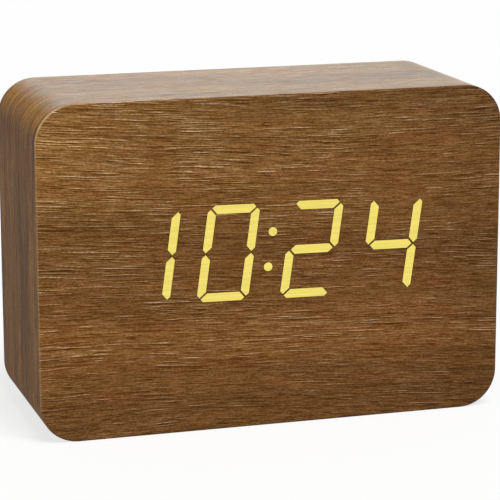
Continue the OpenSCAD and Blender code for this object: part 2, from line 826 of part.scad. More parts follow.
// Power socket cut-out with a shallow recess for a plug, and the microphone's hole
module port_cuts() {
  slab(cover_in_y - over, cover_out_y + over)
    translate([-port_x, control_z]) square([usb_w, usb_h] + 2 * [drop_fit, drop_fit], center = true);
  slab(usb_mouth_y, cover_out_y + over)
    translate([-port_x, control_z]) rounded(usb_w + 2 * plug_room, usb_h + 2 * plug_room, plug_r);
  round_y(port_x, control_z, mic_hole_d, cover_in_y - over, cover_out_y + over);
}

// Seat for the disc, the air space under it, and slots shortened to a round field
module sounder_cuts() {
  seat_y = cover_in_y - sounder_ring_h;
  field_r = sounder_d / 2 - bay_wall;
  round_y(sounder_x, bay_z, sounder_d + 2 * snug_fit, seat_y - over, seat_y);
  round_y(sounder_x, bay_z, 2 * field_r, seat_y - over, cover_in_y);
  rows = floor((field_r - slot_w) / slot_pitch);
  for (i = [-rows : rows]) {
    chord = 2 * sqrt(pow(field_r - slot_w, 2) - pow(i * slot_pitch, 2));
    slab(cover_in_y - over, cover_out_y + over)
      translate([sounder_x + i * slot_pitch, bay_z]) rotate(90) pill(chord + slot_w, slot_w);
  }
}

module cover_screws() {
  color("#3a3a3a") for (p = cover_screw_xz)
    at(p[0], head_seat_y(), p[1]) rotate([-90, 0, 0])
      screw(COVER_SCREW, head_seat_y() - cover_in_y + cover_screw_l - head_room);
}

module control_board() {
  color("#1d5c34") difference() {
    slab(control_front_y, control_back_y)
      translate([0, control_z]) square([control_w, control_h], center = true);
    for (p = post_xz)
      round_y(p[0], p[1], SMALL_SCREW[2] + 2 * drop_fit, control_front_y - over,
              control_back_y + over);
  }
}

module board_screws() {
  color("#b9b9b4") for (p = post_xz)
    at(p[0], control_front_y, p[1]) rotate([90, 0, 0]) screw(SMALL_SCREW, board_t + post_bite);
}

module switch_housings() {
  bore_d = stem_d + 2 * stem_fit;
  bevel = switch_w / 10;
  color("#2a2a2c") for (i = [0 : 3]) difference() {
    at(button_x(i), control_back_y, control_z) rotate([90, 0, 180])
      eased_plate(switch_w, switch_w, 2 * bevel, switch_h, bevel);
    round_y(button_x(i), control_z, bore_d,
            switch_top_y - stem_drop - button_travel - press_room, switch_top_y + over);
  }
}

// Cap with an eased edge, and the collar that keeps it behind the cover
module button(i) {
  color("#232324") {
    at(button_x(i), collar_y + collar_t, control_z) rotate([90, 0, 180])
      eased_plate(button_w, button_h, button_h / 2,
                  cover_out_y + button_proud - collar_y - collar_t, button_h / 10);
    slab(collar_y, collar_y + collar_t)
      translate([button_x(i), control_z]) pill(button_w + 2 * collar_w, button_h + 2 * collar_w);
  }
}
module button_set() { button(0); }
module button_alarm() { button(1); }
module button_up() { button(2); }
module button_down() { button(3); }

module stem(i) {
  color("#4a4a4c")
    round_y(button_x(i), control_z, stem_d, switch_top_y - stem_drop, collar_y);
}
module stem_set() { stem(0); }
module stem_alarm() { stem(1); }
module stem_up() { stem(2); }
module stem_down() { stem(3); }

// Power socket: folded shell with two lower bevels, insert with a tongue, and contacts
module usb_outline(inset) {
  x = usb_w / 2 - inset;
  z = usb_h / 2 - inset;
  bevel = usb_h / 3 - inset * tip_turn;
  translate([-port_x, control_z])
    polygon([[-x, z], [x, z], [x, bevel - z], [x - bevel, -z], [bevel - x, -z], [-x, bevel - z]]);
}
module usb_shell() {
  color("#c3c4c6") slab(control_back_y, usb_mouth_y) difference() {
    usb_outline(0);
    usb_outline(usb_wall);
  }
}
module usb_insert() {
  color("#141414") {
    slab(control_back_y, control_back_y + usb_base) usb_outline(usb_wall);
    slab(control_back_y, usb_mouth_y - usb_base / 3)
      translate([-port_x, control_z + tongue_t / 2])
        square([6 * contact_pitch, tongue_t], center = true);
  }
}
module usb_contacts() {
  color("#c9a24a") for (i = [-2 : 2])
    slab(control_back_y + usb_base, usb_mouth_y - usb_base / 2)
      translate([-port_x + i * contact_pitch, control_z - contact_t / 2])
        square([contact_w, contact_t], center = true);
}

module microphone() {
  color("#b4b6b8") round_y(port_x, control_z, mic_d, control_back_y, control_back_y + mic_h);
}

// Rubber sleeve that seals the capsule against the cover
module microphone_boot() {
  color("#2b2b2b") difference() {
    round_y(port_x, control_z, mic_d + 2 * bay_wall, control_back_y + mic_h / 2, cover_in_y);
    round_y(port_x, control_z, mic_d + 2 * snug_fit, control_back_y, control_back_y + mic_h);
    round_y(port_x, control_z, mic_d / 2, control_back_y, cover_in_y + over);
  }
}

module main_chip() {
  color("#202020") at(-control_w / 8, control_front_y, control_z) rotate([90, 0, 0])
    chip(main_l, main_w, main_h, main_pitch);
}

module crystal_can() {
  d = crystal_d;
  l = crystal_l;
  color("#c8c9ca") at(control_w / 12, control_front_y - d / 2 - snug_fit, control_z)
    rotate([0, 90, 0]) rotate_extrude()
      polygon([[0, 0], [d / 2, 0], [d / 2, 0.9 * l], [0.4 * d, l], [0, l]]);
}

module sounder_disc() {
  seat_y = cover_in_y - sounder_ring_h;
  color("#c8a24f") round_y(sounder_x, bay_z, sounder_d, seat_y - sounder_t, seat_y);
}
module sounder_ceramic() {
  seat_y = cover_in_y - sounder_ring_h - sounder_t;
  color("#e6e4dc") round_y(sounder_x, bay_z, 0.7 * sounder_d, seat_y - sounder_t, seat_y);
}

// Wires from the sounder's face up to the control board
module sounder_leads() {
  start = cover_in_y - sounder_ring_h - 2 * sounder_t;
  color("#aa2f28") for (s = [-1, 1])
    bent_run(sounder_x + s * wire_d, [start, bay_z + wire_d * (1 + s)],
             control_front_y - lead_run, [control_front_y, lead_top_z], wire_r)
      circle(d = wire_d);
}

// Door plate with two tabs, a bevelled lower edge and a latch tongue
module battery_door() {
  h = door_h - door_fit - door_gap;
  mid = bay_z + (door_gap - door_fit) / 2;
  low = door_low_z + door_gap;
  top = bay_z + door_h / 2 - door_fit;
  bevel_y = tab_y + tab_t / 2;
  color("#1f1f20") difference() {
    union() {
      slab(door_in_y, cover_out_y)
        translate([0, mid]) rounded(door_w - 2 * door_fit, h, door_r - door_fit);
      for (s = [-1, 1]) door_tab(s * tab_x, low);
      // Nib behind the latch's end
      at(-latch_w / 2 + latch_slot, door_in_y - latch_nib, top - latch_nib)
        cube([latch_w - 2 * latch_slot, latch_nib, latch_nib]);
      // Thumb ridges on the latch
      for (i = [1 : 3])
        at(-latch_w / 4, cover_out_y, top - i * latch_l / 5)
          rotate([0, 90, 0]) cylinder(d = ridge_d, h = latch_w / 2);
    }
    // Lower edge bevelled, so that it passes the cover as the door tilts
    at(-door_w / 2, bevel_y, low) rotate([90, 0, 90])
      linear_extrude(door_w) polygon([[0, 0], [3 * door_t, 3 * door_t], [3 * door_t, -over], [0, -over]]);
    // Slots that free the latch tongue
    for (s = [-1, 1])
      at(s * (latch_w - latch_slot) / 2 - latch_slot / 2, door_in_y - over, top - latch_l)
        cube([latch_slot, door_t + 2 * over, latch_l + over]);
  }
}
module door_tab(x, low) {
  at(x - tab_w / 2, tab_y, tab_z) rotate([90, 0, 90]) linear_extrude(tab_w) {
    circle(d = tab_t);
    translate([-tab_t / 2, 0]) square([tab_t, low - tab_z + door_t]);
  }
}

// Cells lie across the bay: a cell's nub points to +X where way is 1
function cell_way(row) = row == 0 ? -1 : 1;
module battery_cells() {
  color("#3b4a58") for (row = CELLS) {
    way = cell_way(row);
    at(way * (bay_w / 2 - plate_t - dimple_h), cell_y, bay_z + row * cell_pitch)
      rotate([0, -90 * way, 0]) rotate_extrude() polygon([
        [0, 0], [nub_d / 2, 0], [nub_d / 2, nub_l], [cell_d / 2 - cell_ease, nub_l],
        [cell_d / 2, nub_l + cell_ease], [cell_d / 2, cell_l - cell_ease],
        [cell_d / 2 - cell_ease, cell_l], [0, cell_l]
      ]);
  }
}

// Nickelled plates at the bay's ends: one pair joins two cells at each end
module contact_plates() {
  color("#c9c9c4") for (s = [-1, 1]) {
    single = s;
    contact_plate(s, [single], true);
    contact_plate(s, [0, -single], false);
  }
}
module contact_plate(s, rows, lug) {
  x = s > 0 ? bay_w / 2 - plate_t : -bay_w / 2;
  for (row = rows) {
    z = bay_z + row * cell_pitch;
    at(x, cell_y - plate_half, z - plate_half) cube([plate_t, 2 * plate_half, 2 * plate_half]);
    if (cell_way(row) == s)
      at(x + (s > 0 ? -dimple_h : plate_t), cell_y, z) rotate([0, 90, 0])
        cylinder(d = dimple_d, h = dimple_h);
  }
  if (len(rows) == 2)
    at(x, cell_y - web_drop, bay_z + min(rows) * cell_pitch)
      cube([plate_t, plate_half + web_drop, cell_pitch]);
  if (lug)
    at(x, bay_floor_y - lug_l, bay_z + rows[0] * cell_pitch - lug_w / 2)
      cube([plate_t, cell_y - plate_half - bay_floor_y + lug_l, lug_w]);
}

// Conical springs, each one unbroken wire from its plate to its cell
function spring_path(x0, s, z) = let(n = round(spring_steps * spring_turns)) [
  for (i = [0 : n]) let(
    f = i / n,
    r = spring_base_r + f * (spring_tip_r - spring_base_r),
    a = 360 * spring_turns * f
  ) [x0 - s * (spring_wire / 2 + f * (spring_l - spring_wire)),
     cell_y + r * cos(a), mid_z + z + r * sin(a)]];
function spring_gap(path) = min([
  for (i = [0 : len(path) - 1], k = [0 : len(path) - 1])
    if (k - i >= spring_steps / 2) norm(path[k] - path[i])]) - spring_wire;
module contact_springs() {
  color("#d2d2cc") for (row = CELLS) {
    s = -cell_way(row);
    path = spring_path(s * (bay_w / 2 - plate_t), s, bay_z + row * cell_pitch);
    echo(str("contact spring, least gap to itself: ", spring_gap(path), " mm"));
    tube(path, spring_wire, wire_sides, [1, 0, 0]);
  }
}

// Wires from the solder lugs up to the control board
module cell_lead(s) {
  start = bay_floor_y - lug_l;
  bent_run(s * lead_x, [start, bay_z + s * cell_pitch], start - lead_run,
           [control_front_y, lead_top_z], wire_r) circle(d = wire_d);
}
module positive_lead() { color("#b3261e") cell_lead(1); }
module negative_lead() { color("#161616") cell_lead(-1); }

module ferrite_rod() {
  color("#3c3a3a") at(rod_x - rod_l / 2, rod_y, rod_z) rotate([0, 90, 0])
    cylinder(d = rod_d, h = rod_l);
}

module antenna_coil() {
  color("#b06a35") at(rod_x - coil_l / 2, rod_y, rod_z) rotate([0, 90, 0]) difference() {
    cylinder(d = rod_d + 2 * coil_t, h = coil_l);
    translate([0, 0, -over]) cylinder(d = rod_d + 2 * snug_fit, h = coil_l + 2 * over);
  }
}

// Saddles that stand on the cavity's floor and clip over the rod
module antenna_saddles() {
  outer_d = rod_d + 2 * saddle_t;
  color("#e4e2da") for (s = [-1, 1])
    at(rod_x + s * saddle_x - saddle_l / 2, rod_y, rod_z) rotate([90, 0, 90])
      linear_extrude(saddle_l) difference() {
        union() {
          circle(d = outer_d);
          translate([-0.6 * outer_d, floor_z - rod_z]) square([1.2 * outer_d, saddle_t]);
        }
        circle(d = rod_d + 2 * snug_fit);
        translate([-rod_d / 3, rod_d / 5]) square([2 * rod_d / 3, outer_d]);
        translate([-outer_d, floor_z - rod_z - outer_d]) square([2 * outer_d, outer_d]);
      }
}

module receiver_pad() {
  color("#f2f2ee")
    at(receiver_x - receiver_w / 2 + pad_t, receiver_y - receiver_d / 2 + pad_t, floor_z)
      cube([receiver_w - 2 * pad_t, receiver_d - 2 * pad_t, pad_t]);
}
module receiver_board() {
  color("#1d5c34")
    at(receiver_x - receiver_w / 2, receiver_y - receiver_d / 2, floor_z + pad_t)
      cube([receiver_w, receiver_d, receiver_t]);
}
module receiver_chip() {
  color("#202020") at(receiver_x, receiver_y - receiver_d / 5, receiver_top_z)
    chip(radio_l, radio_w, radio_h, radio_pitch);
}

// Flat lead from the receiver board up to the control board
module receiver_lead() {
  start = receiver_y + receiver_d / 4;
  color("#8f9296")
    bent_run(receiver_lead_x, [start, receiver_top_z + ribbon_t / 2],
             receiver_y + receiver_d / 2 + lead_run,
             [control_front_y, lead_top_z], wire_r + ribbon_t)
      square([ribbon_t, receiver_lead_w], center = true);
}

// Ends of the winding: out of the coil's end, past the saddle and down to the receiver board
module antenna_leads() {
  d = winding_d;
  spread = lead_spread;
  winding_r = (rod_d + coil_t) / 2;
  coil_x = rod_x + coil_l / 2;
  past_x = rod_x + saddle_x + saddle_l / 2 + spread;
  end_x = receiver_x - receiver_w / 2 + 2 * spread;
  top_z = mid_z + receiver_top_z + d / 2;
  color("#b06a35") for (s = [-1, 1]) {
    start_y = rod_y - sqrt(winding_r * winding_r - spread * spread);
    run_y = rod_y - rod_d / 2 - saddle_t - (2 + s) * spread;
    z = mid_z + rod_z + s * spread;
    tube([
      [coil_x, start_y, z], [coil_x + d, start_y, z], [coil_x + 4 * d, run_y, z],
      [past_x, run_y, z], [end_x - 5 * spread, run_y, top_z + 3 * d],
      [end_x - 2 * spread, run_y, top_z], [end_x, run_y, top_z]
    ], d, wire_sides, [0, 0, 1]);
  }
}

wood_carcass();
corner_blocks();
veneer_wrap();
front_veneer();
rear_veneer();
lit_segments();
lit_colon();
light_mask();
diffuser_film();
segment_reflector();
segment_lamps();
display_board();
display_screws();
driver_chip();
capacitors();
ribbon_sockets();
ribbon_cable();
rear_cover();
cover_screws();
control_board();
board_screws();
switch_housings();
button_set();
button_alarm();
button_up();
button_down();
stem_set();
stem_alarm();
stem_up();
stem_down();
usb_shell();
usb_insert();
usb_contacts();
microphone();
microphone_boot();
main_chip();
crystal_can();
sounder_disc();
sounder_ceramic();
sounder_leads();
battery_door();
battery_cells();
contact_plates();
contact_springs();
positive_lead();
negative_lead();
ferrite_rod();
antenna_coil();
antenna_saddles();
antenna_leads();
receiver_board();
receiver_chip();
receiver_pad();
receiver_lead();
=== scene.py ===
# %% [markdown]
# # Dressing a wood-look alarm clock
# The clock is a rounded block wrapped in walnut-look foil, and its yellow digits glow
# through the front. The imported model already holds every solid, so this lesson is about
# finishes and light, and about the few small pieces that are easier to shape in Blender:
# the winding of the aerial with its sleeve, and the marks printed on the buttons.

# %% Load the clock
import math

import bpy
from mathutils import Matrix, Vector


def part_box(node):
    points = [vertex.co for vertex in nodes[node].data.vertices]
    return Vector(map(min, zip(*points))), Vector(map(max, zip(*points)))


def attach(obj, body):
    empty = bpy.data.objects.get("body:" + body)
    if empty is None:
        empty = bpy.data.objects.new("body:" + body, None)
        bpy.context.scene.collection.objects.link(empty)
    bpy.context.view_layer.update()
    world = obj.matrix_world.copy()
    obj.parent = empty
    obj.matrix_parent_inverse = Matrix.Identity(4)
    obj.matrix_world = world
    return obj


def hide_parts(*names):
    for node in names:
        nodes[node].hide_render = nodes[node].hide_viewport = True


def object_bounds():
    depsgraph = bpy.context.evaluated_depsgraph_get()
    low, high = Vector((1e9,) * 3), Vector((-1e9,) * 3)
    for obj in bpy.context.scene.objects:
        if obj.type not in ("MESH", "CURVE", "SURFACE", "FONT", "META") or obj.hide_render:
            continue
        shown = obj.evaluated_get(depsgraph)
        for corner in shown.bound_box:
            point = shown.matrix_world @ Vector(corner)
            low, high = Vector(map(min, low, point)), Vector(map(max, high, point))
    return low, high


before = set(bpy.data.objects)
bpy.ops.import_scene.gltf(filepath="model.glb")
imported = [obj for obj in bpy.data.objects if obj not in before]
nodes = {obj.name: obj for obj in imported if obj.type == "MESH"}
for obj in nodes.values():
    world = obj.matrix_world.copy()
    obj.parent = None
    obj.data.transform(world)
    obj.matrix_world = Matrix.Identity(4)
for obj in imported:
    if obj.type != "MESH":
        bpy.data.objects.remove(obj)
cad_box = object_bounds()
MM = 0.001

# %% [markdown]
# ## The camera
# The picture was taken with a long lens from the front left, a little above the clock.
# A camera could be placed by eye, but its place was worked out from the straight edges of
# the block instead, because then the corners land where the picture has them. A long focal
# length keeps the block's sides nearly parallel, as they are in the picture.

# %% Work out where the camera stands
# These angles and lengths come from the fit to the block's straight edges.
YAW = math.radians(-16.86)
TILT = math.radians(12.70)
ROLL = math.radians(0.11)
FRONT_MIDDLE = Vector((0, -29, 52.5)) * MM
OFFSET_MM = (-7.65, 3.72, 729.86)

side = Vector((math.cos(YAW), math.sin(YAW), 0))
back = Vector((math.sin(YAW) * math.cos(TILT), -math.cos(YAW) * math.cos(TILT), math.sin(TILT)))
up = back.cross(side)
place = FRONT_MIDDLE + (side * OFFSET_MM[0] + up * OFFSET_MM[1] + back * OFFSET_MM[2]) * MM
turned_side = side * math.cos(ROLL) - up * math.sin(ROLL)
turned_up = side * math.sin(ROLL) + up * math.cos(ROLL)
print("camera stands at", [round(v, 3) for v in place])

# %% Stand the camera in front of the clock
PICTURE_PIXELS = 500
FOCAL_PIXELS = 2348
SENSOR_MM = 36
bpy.ops.object.select_all(action="DESELECT")
bpy.ops.object.camera_add()
camera = bpy.context.object
camera.name = "camera"
camera.data.sensor_fit = "HORIZONTAL"
camera.data.sensor_width = SENSOR_MM
camera.data.lens = FOCAL_PIXELS * SENSOR_MM / PICTURE_PIXELS
camera.data.clip_start = 10 * MM
axes = Matrix((turned_side, turned_up, back)).transposed()
camera.matrix_world = Matrix.Translation(place) @ axes.to_4x4()
bpy.context.scene.camera = camera
bpy.context.scene.view_settings.view_transform = "Standard"
print("lens", round(camera.data.lens, 1), "mm")

# %% [markdown]
# ## Colours, nodes and materials
# A few small helpers serve every finish below. One turns an ordinary hex colour into the
# linear numbers that Blender mixes in. One adds a node, sets it up and links it in a single
# call, which keeps each finish short enough to read from top to bottom. The others start a
# material, put it on pieces, and turn a size in millimetres into a pattern's scale.

# %% Helpers for colours and nodes
def linear(code):
    """The sRGB hex colour as linear red, green and blue, with an alpha of 1."""
    parts = [int(code[i:i + 2], 16) / 255 for i in (1, 3, 5)]
    return [p / 12.92 if p < 0.04045 else ((p + 0.055) / 1.055) ** 2.4 for p in parts] + [1]


def add(tree, kind, inputs=None, stops=None, **settings):
    """Adds one node: inputs take plain values or the outputs of other nodes."""
    made = tree.nodes.new("ShaderNode" + kind)
    for name, value in settings.items():
        setattr(made, name, value)
    for socket, value in (inputs or {}).items():
        if isinstance(value, bpy.types.NodeSocket):
            tree.links.new(value, made.inputs[socket])
        else:
            made.inputs[socket].default_value = value
    if stops:
        ends = made.color_ramp.elements
        ends[0].position, ends[0].color = stops[0]
        ends[1].position, ends[1].color = stops[-1]
        for position, colour in stops[1:-1]:
            ends.new(position).color = colour
    return made


print("walnut brown in linear light", [round(v, 3) for v in linear("#875f30")])

# %% Helpers for materials
def start_finish(name, plain):
    """A new material with its tree and its shader, and what is the same all over it."""
    made = bpy.data.materials.new(name)
    made.use_nodes = True
    shader = made.node_tree.nodes["Principled BSDF"]
    for socket, value in plain.items():
        shader.inputs[socket].default_value = value
    return made, made.node_tree, shader


def wear_finish(name, *node_names):
    """Puts a material on CAD pieces, in the slots that they already have."""
    for node_name in node_names:
        for slot in nodes[node_name].material_slots:
            slot.material = bpy.data.materials[name]


def per(*sizes_mm):
    """The Mapping scale at which one unit of a pattern is so many millimetres long."""
    return [1 / (size * MM) for size in sizes_mm]


# Nearly all of a noise lies between these two levels.
NOISE_LOW, NOISE_HIGH = 0.3, 0.7
print("a pattern of 4 mm has a scale of", round(per(4)[0], 1))

# %% [markdown]
# ## Light and floor
# The clock stands on white under a big soft lamp that is high in front of it and a little
# to its right, so the top is the brightest face, the front comes next and the left side is
# in half shade. A ring of area lamps could give this too, but one wide sun lamp and a pale
# sky are simpler and stay even over the whole block. Rays from the camera, and rays
# mirrored in gloss, see plain white in place of the dimmer sky.

# %% Sky
SKY_LEVEL = 0.35
WHITE = linear("#ffffff")


def seen_rays(tree):
    """1 for rays from the camera, from gloss and from glass, and 0 for rays that only light."""
    rays = add(tree, "LightPath").outputs
    seen = add(tree, "Math", {0: rays["Is Camera Ray"], 1: rays["Is Glossy Ray"]},
               operation="MAXIMUM")
    return add(tree, "Math", {0: seen.outputs[0], 1: rays["Is Transmission Ray"]},
               operation="MAXIMUM").outputs[0]


world = bpy.data.worlds.new("studio")
world.use_nodes = True
bpy.context.scene.world = world
tree = world.node_tree
sky = add(tree, "Background", {"Strength": SKY_LEVEL, "Color": WHITE})
white = add(tree, "Background", {"Strength": 1, "Color": WHITE})
both = add(tree, "MixShader", {0: seen_rays(tree), 1: sky.outputs[0], 2: white.outputs[0]})
tree.links.new(both.outputs[0], tree.nodes["World Output"].inputs[0])
print("sky lights at", SKY_LEVEL, "and is seen as white")

# %% Lamp
LAMP_POWER = 2.95
LAMP_SPREAD = math.radians(30)
LAMP_SIDE = math.radians(15)
LAMP_HEIGHT = math.radians(63)
bpy.ops.object.select_all(action="DESELECT")
bpy.ops.object.light_add(type="SUN")
lamp = bpy.context.object
lamp.name = "soft_lamp"
lamp.data.energy = LAMP_POWER
lamp.data.angle = LAMP_SPREAD
towards_lamp = Vector((math.cos(LAMP_HEIGHT) * math.sin(LAMP_SIDE),
                       -math.cos(LAMP_HEIGHT) * math.cos(LAMP_SIDE), math.sin(LAMP_HEIGHT)))
lamp.rotation_euler = towards_lamp.to_track_quat("Z", "Y").to_euler()
print("lamp", LAMP_POWER, "W per square metre")

# %% Floor
FLOOR_SIZE = 8
FLOOR_GAP = 0.05 * MM
WHITE_SHARE = 0.75
# Matt paper: no gloss at all, so that only a soft shadow shows on it.
paper, tree, shader = start_finish("paper_white_matt", {
    "Base Color": linear("#e9e9e8"), "Roughness": 0.9, "Specular IOR Level": 0})
share = add(tree, "Math", {0: seen_rays(tree), 1: WHITE_SHARE}, operation="MULTIPLY")
white = add(tree, "Emission", {"Color": WHITE, "Strength": 1})
both = add(tree, "MixShader", {0: share.outputs[0], 1: shader.outputs[0], 2: white.outputs[0]})
tree.links.new(both.outputs[0], tree.nodes["Material Output"].inputs[0])

bpy.ops.object.select_all(action="DESELECT")
bpy.ops.mesh.primitive_plane_add(size=FLOOR_SIZE, location=(0, 0, -FLOOR_GAP))
floor = bpy.context.object
floor.name = "floor"
bpy.ops.object.transform_apply(location=True, rotation=True, scale=True)
floor.data.materials.append(paper)
print("floor", FLOOR_SIZE, "m across")

# %% [markdown]
# ## Walnut-look foil on the front
# The front is one sheet of embossed foil pressed on board, with the grain lying nearly
# across. Seen close it has broad golden and dark belts, reddish and greyish patches, fine
# lines, dark pores, and thin pale flecks where the lip of a pore catches the light. An image
# would be the usual way; here each of these is a noise stretched to its own size in
# millimetres that tints what lies below it, so the wood stays sharp at any distance. The
# finest lines of the real foil are drawn a little wider, about a pixel in the picture.

# %% Stack tints of stretched noise
NO_TINT = (1, 1, 1)


def stack_tints(tree, where, lay, colour, layers, gain=None):
    """Multiplies the colour by one tint after another; lay puts a layer's size on the axes."""
    for size, seed, shift, low, high, first, last, crowded in layers:
        spot = add(tree, "Mapping", {"Vector": where, "Scale": per(*lay(*size)),
                                     "Location": lay(seed, seed + shift / size[1])})
        grain = add(tree, "TexNoise", {"Vector": spot.outputs[0], "Scale": 1, "Detail": 1,
                                       "Roughness": 0.4, "Distortion": 0.3}).outputs[0]
        if crowded:
            grain = add(tree, "Math", {0: grain, 1: gain}, operation="MULTIPLY").outputs[0]
        tint = add(tree, "MapRange", {6: grain, 7: [low] * 3, 8: [high] * 3, 9: first, 10: last},
                   data_type="FLOAT_VECTOR")
        colour = add(tree, "VectorMath", {0: colour, 1: tint.outputs[1]},
                     operation="MULTIPLY").outputs[0]
    return colour, grain


print("tints are multiplied in linear light")

# %% Layers of the front sheet
# A layer is its size along and across the grain in mm, its place in the noise, a shift across
# in mm, the noise's low and high, the tint at each, and whether it crowds into some parts.
DARK_LINES = ((26, 0.36), 13, 0, 0.59, 0.65, NO_TINT, (0.60, 0.46, 0.24), False)
# Fine lines, a speckle that breaks them up, and short dark pores.
FINE_GRAIN = (
    ((5, 0.27), 5, 0, 0.36, 0.64, (0.71, 0.63, 0.42), (1.24, 1.33, 1.53), False),
    ((0.8, 0.27), 9, 0, 0.3, 0.7, (0.67, 0.62, 0.49), (1.29, 1.36, 1.50), False),
    ((7, 0.38), 11, 0, 0.64, 0.68, NO_TINT, (0.48, 0.36, 0.16), False),
)
# Painted shade on the dark side of a pore's lip, and the pale fleck beside it, a painted highlight.
PORE_LIP_LIGHT_AND_SHADE = (
    ((13, 0.40), 17, 0.30, 0.62, 0.65, NO_TINT, (0.52, 0.40, 0.22), True),
    ((13, 0.40), 17, 0, 0.62, 0.65, NO_TINT, (1.80, 2.3, 3.6), True),
)
# Broad belts, reddish patches, greyish patches, dark lines, pale lines, and the fine layers.
SHEET_LAYERS = (
    ((110, 7), 1, 0, 0.3, 0.7, (0.87, 0.85, 0.81), (1.13, 1.15, 1.15), False),
    ((34, 3.5), 3, 0, 0.54, 0.74, NO_TINT, (1.04, 0.96, 0.97), False),
    ((30, 2.4), 7, 0, 0.56, 0.74, NO_TINT, (0.90, 0.885, 0.95), False),
    DARK_LINES,
    ((18, 0.34), 21, 0, 0.60, 0.66, NO_TINT, (1.28, 1.45, 2.0), True),
) + FINE_GRAIN + PORE_LIP_LIGHT_AND_SHADE
finest = min(size[1] for size, *_ in SHEET_LAYERS)
print(len(SHEET_LAYERS), "layers on the front sheet, the finest", finest, "mm across")

# %% [markdown]
# ## How the grain runs
# Grain is never quite straight. On this sheet it falls a little to the right, steeper at the
# upper left and the lower right than elsewhere, and it wanders by a few millimetres. Each
# layer could be bent by itself, but here all of them read one bent place, so that they bend
# together as the rings of a tree do.

# %% Bend the grain
GRAIN_FALL = math.tan(math.radians(2.6))
GRAIN_TWIST = 8
TWIST_HEIGHT = 50 * MM
WANDER_SIZE = (60, 18)
WANDER = 2.6 * MM


def sheet_lay(along, across):
    """Sizes along and across the grain of the front sheet, as X, Y and Z."""
    return along, along, across


# Pressed foil: a satin sheet whose faint gloss is broken up by the embossed lines.
foil, tree, shader = start_finish("walnut_foil_pressed", {"IOR": 1.45, "Specular IOR Level": 0.08})
coords = add(tree, "TexCoord")
where = coords.outputs["Object"]
spot = add(tree, "SeparateXYZ", {0: where}).outputs
twist = add(tree, "Math", {0: spot[0], 1: 2}, operation="POWER")
below = add(tree, "Math", {0: TWIST_HEIGHT, 1: spot[2]}, operation="SUBTRACT")
below = add(tree, "Math", {0: below.outputs[0], 1: GRAIN_TWIST}, operation="MULTIPLY")
twist = add(tree, "Math", {0: twist.outputs[0], 1: below.outputs[0]}, operation="MULTIPLY")
twist = add(tree, "Math", {0: spot[0], 1: GRAIN_FALL, 2: twist.outputs[0]},
            operation="MULTIPLY_ADD")
turned = add(tree, "CombineXYZ", {2: twist.outputs[0]})
turned = add(tree, "VectorMath", {0: where, 1: turned.outputs[0]})
drift = add(tree, "Mapping", {"Vector": where, "Scale": per(*sheet_lay(*WANDER_SIZE))})
drift = add(tree, "TexNoise", {"Vector": drift.outputs[0], "Scale": 1, "Detail": 1})
bent = add(tree, "VectorMath", {0: drift.outputs["Color"], 1: [0, 0, WANDER],
                                2: turned.outputs[0]}, operation="MULTIPLY_ADD").outputs[0]
print("grain falls", round(GRAIN_FALL * 100, 1), "mm in 100 mm")

# %% [markdown]
# ## Slow changes of tone
# Golden and dark belts lie along the grain, and the foot is redder than the top. The right
# end is darker, a painted shade, and the upper left corner is the palest, a painted
# highlight. The pale flecks crowd into some parts, and towards that corner. All this could be
# painted on by hand, but ramps along the axes are easier to change. Each number is a factor
# on the brown, so that 1 leaves it as it is.

# %% Tone of the front sheet
FOIL_BROWN = linear("#755027")[:3]
# How far up from the foot, or along from the left, and the factor there.
BELTS = ((0.03, 0.78), (0.18, 0.88), (0.30, 1.12), (0.40, 0.93), (0.56, 0.91), (0.70, 1.05),
         (0.79, 1.18), (0.95, 1.05))
# Painted light across the sheet: a little paler at the left, painted shade at the right end.
LEFT_TO_RIGHT_PAINTED_LIGHT = ((0.0, (1.03, 1.03, 1.03)), (0.5, (0.98, 0.98, 1.0)), (0.77, (1.0, 1.005, 1.075)),
         (0.97, (0.82, 0.82, 0.88)))
FOOT_TINT, TOP_TINT = (1.022, 0.986, 1.01), (0.98, 1.008, 1.06)
TOPWARDS, FOOT_END, TOP_END = [-0.12, 0, 1], 55 * MM, 92 * MM
# Painted highlight: the sheet grows paler towards the upper left corner.
CORNERWARDS, CORNER_HIGHLIGHT_START, CORNER_HIGHLIGHT_END, CORNER_PAINTED_HIGHLIGHT = [-1, 0, 0.8], 118 * MM, 150 * MM, 1.2

height = add(tree, "SeparateXYZ", {0: bent})
height = add(tree, "MapRange", {0: height.outputs[2], 1: cad_box[0].z, 2: cad_box[1].z})
belts = add(tree, "ValToRGB", {0: height.outputs[0]},
            stops=[(place_up, [tone] * 3 + [1]) for place_up, tone in BELTS])
left_to_right_light = add(tree, "MapRange", {0: spot[0], 1: cad_box[0].x, 2: cad_box[1].x})
left_to_right_light = add(tree, "ValToRGB", {0: left_to_right_light.outputs[0]},
            stops=[(place_along, [*tone, 1]) for place_along, tone in LEFT_TO_RIGHT_PAINTED_LIGHT])
warm = add(tree, "VectorMath", {0: where, 1: TOPWARDS}, operation="DOT_PRODUCT")
warm = add(tree, "MapRange", {6: warm.outputs["Value"], 7: [FOOT_END] * 3, 8: [TOP_END] * 3,
                              9: FOOT_TINT, 10: TOP_TINT}, data_type="FLOAT_VECTOR")
lean = add(tree, "VectorMath", {0: where, 1: CORNERWARDS}, operation="DOT_PRODUCT").outputs["Value"]
corner_highlight = add(tree, "MapRange", {0: lean, 1: CORNER_HIGHLIGHT_START, 2: CORNER_HIGHLIGHT_END, 3: 1, 4: CORNER_PAINTED_HIGHLIGHT})
base = add(tree, "VectorMath", {0: belts.outputs[0], 1: FOIL_BROWN}, operation="MULTIPLY")
base = add(tree, "VectorMath", {0: base.outputs[0], 1: left_to_right_light.outputs[0]}, operation="MULTIPLY")
base = add(tree, "VectorMath", {0: base.outputs[0], 1: warm.outputs[1]}, operation="MULTIPLY")
base = add(tree, "VectorMath", {0: base.outputs[0], "Scale": corner_highlight.outputs[0]}, operation="SCALE")
print(len(BELTS), "belts from the foot to the top")

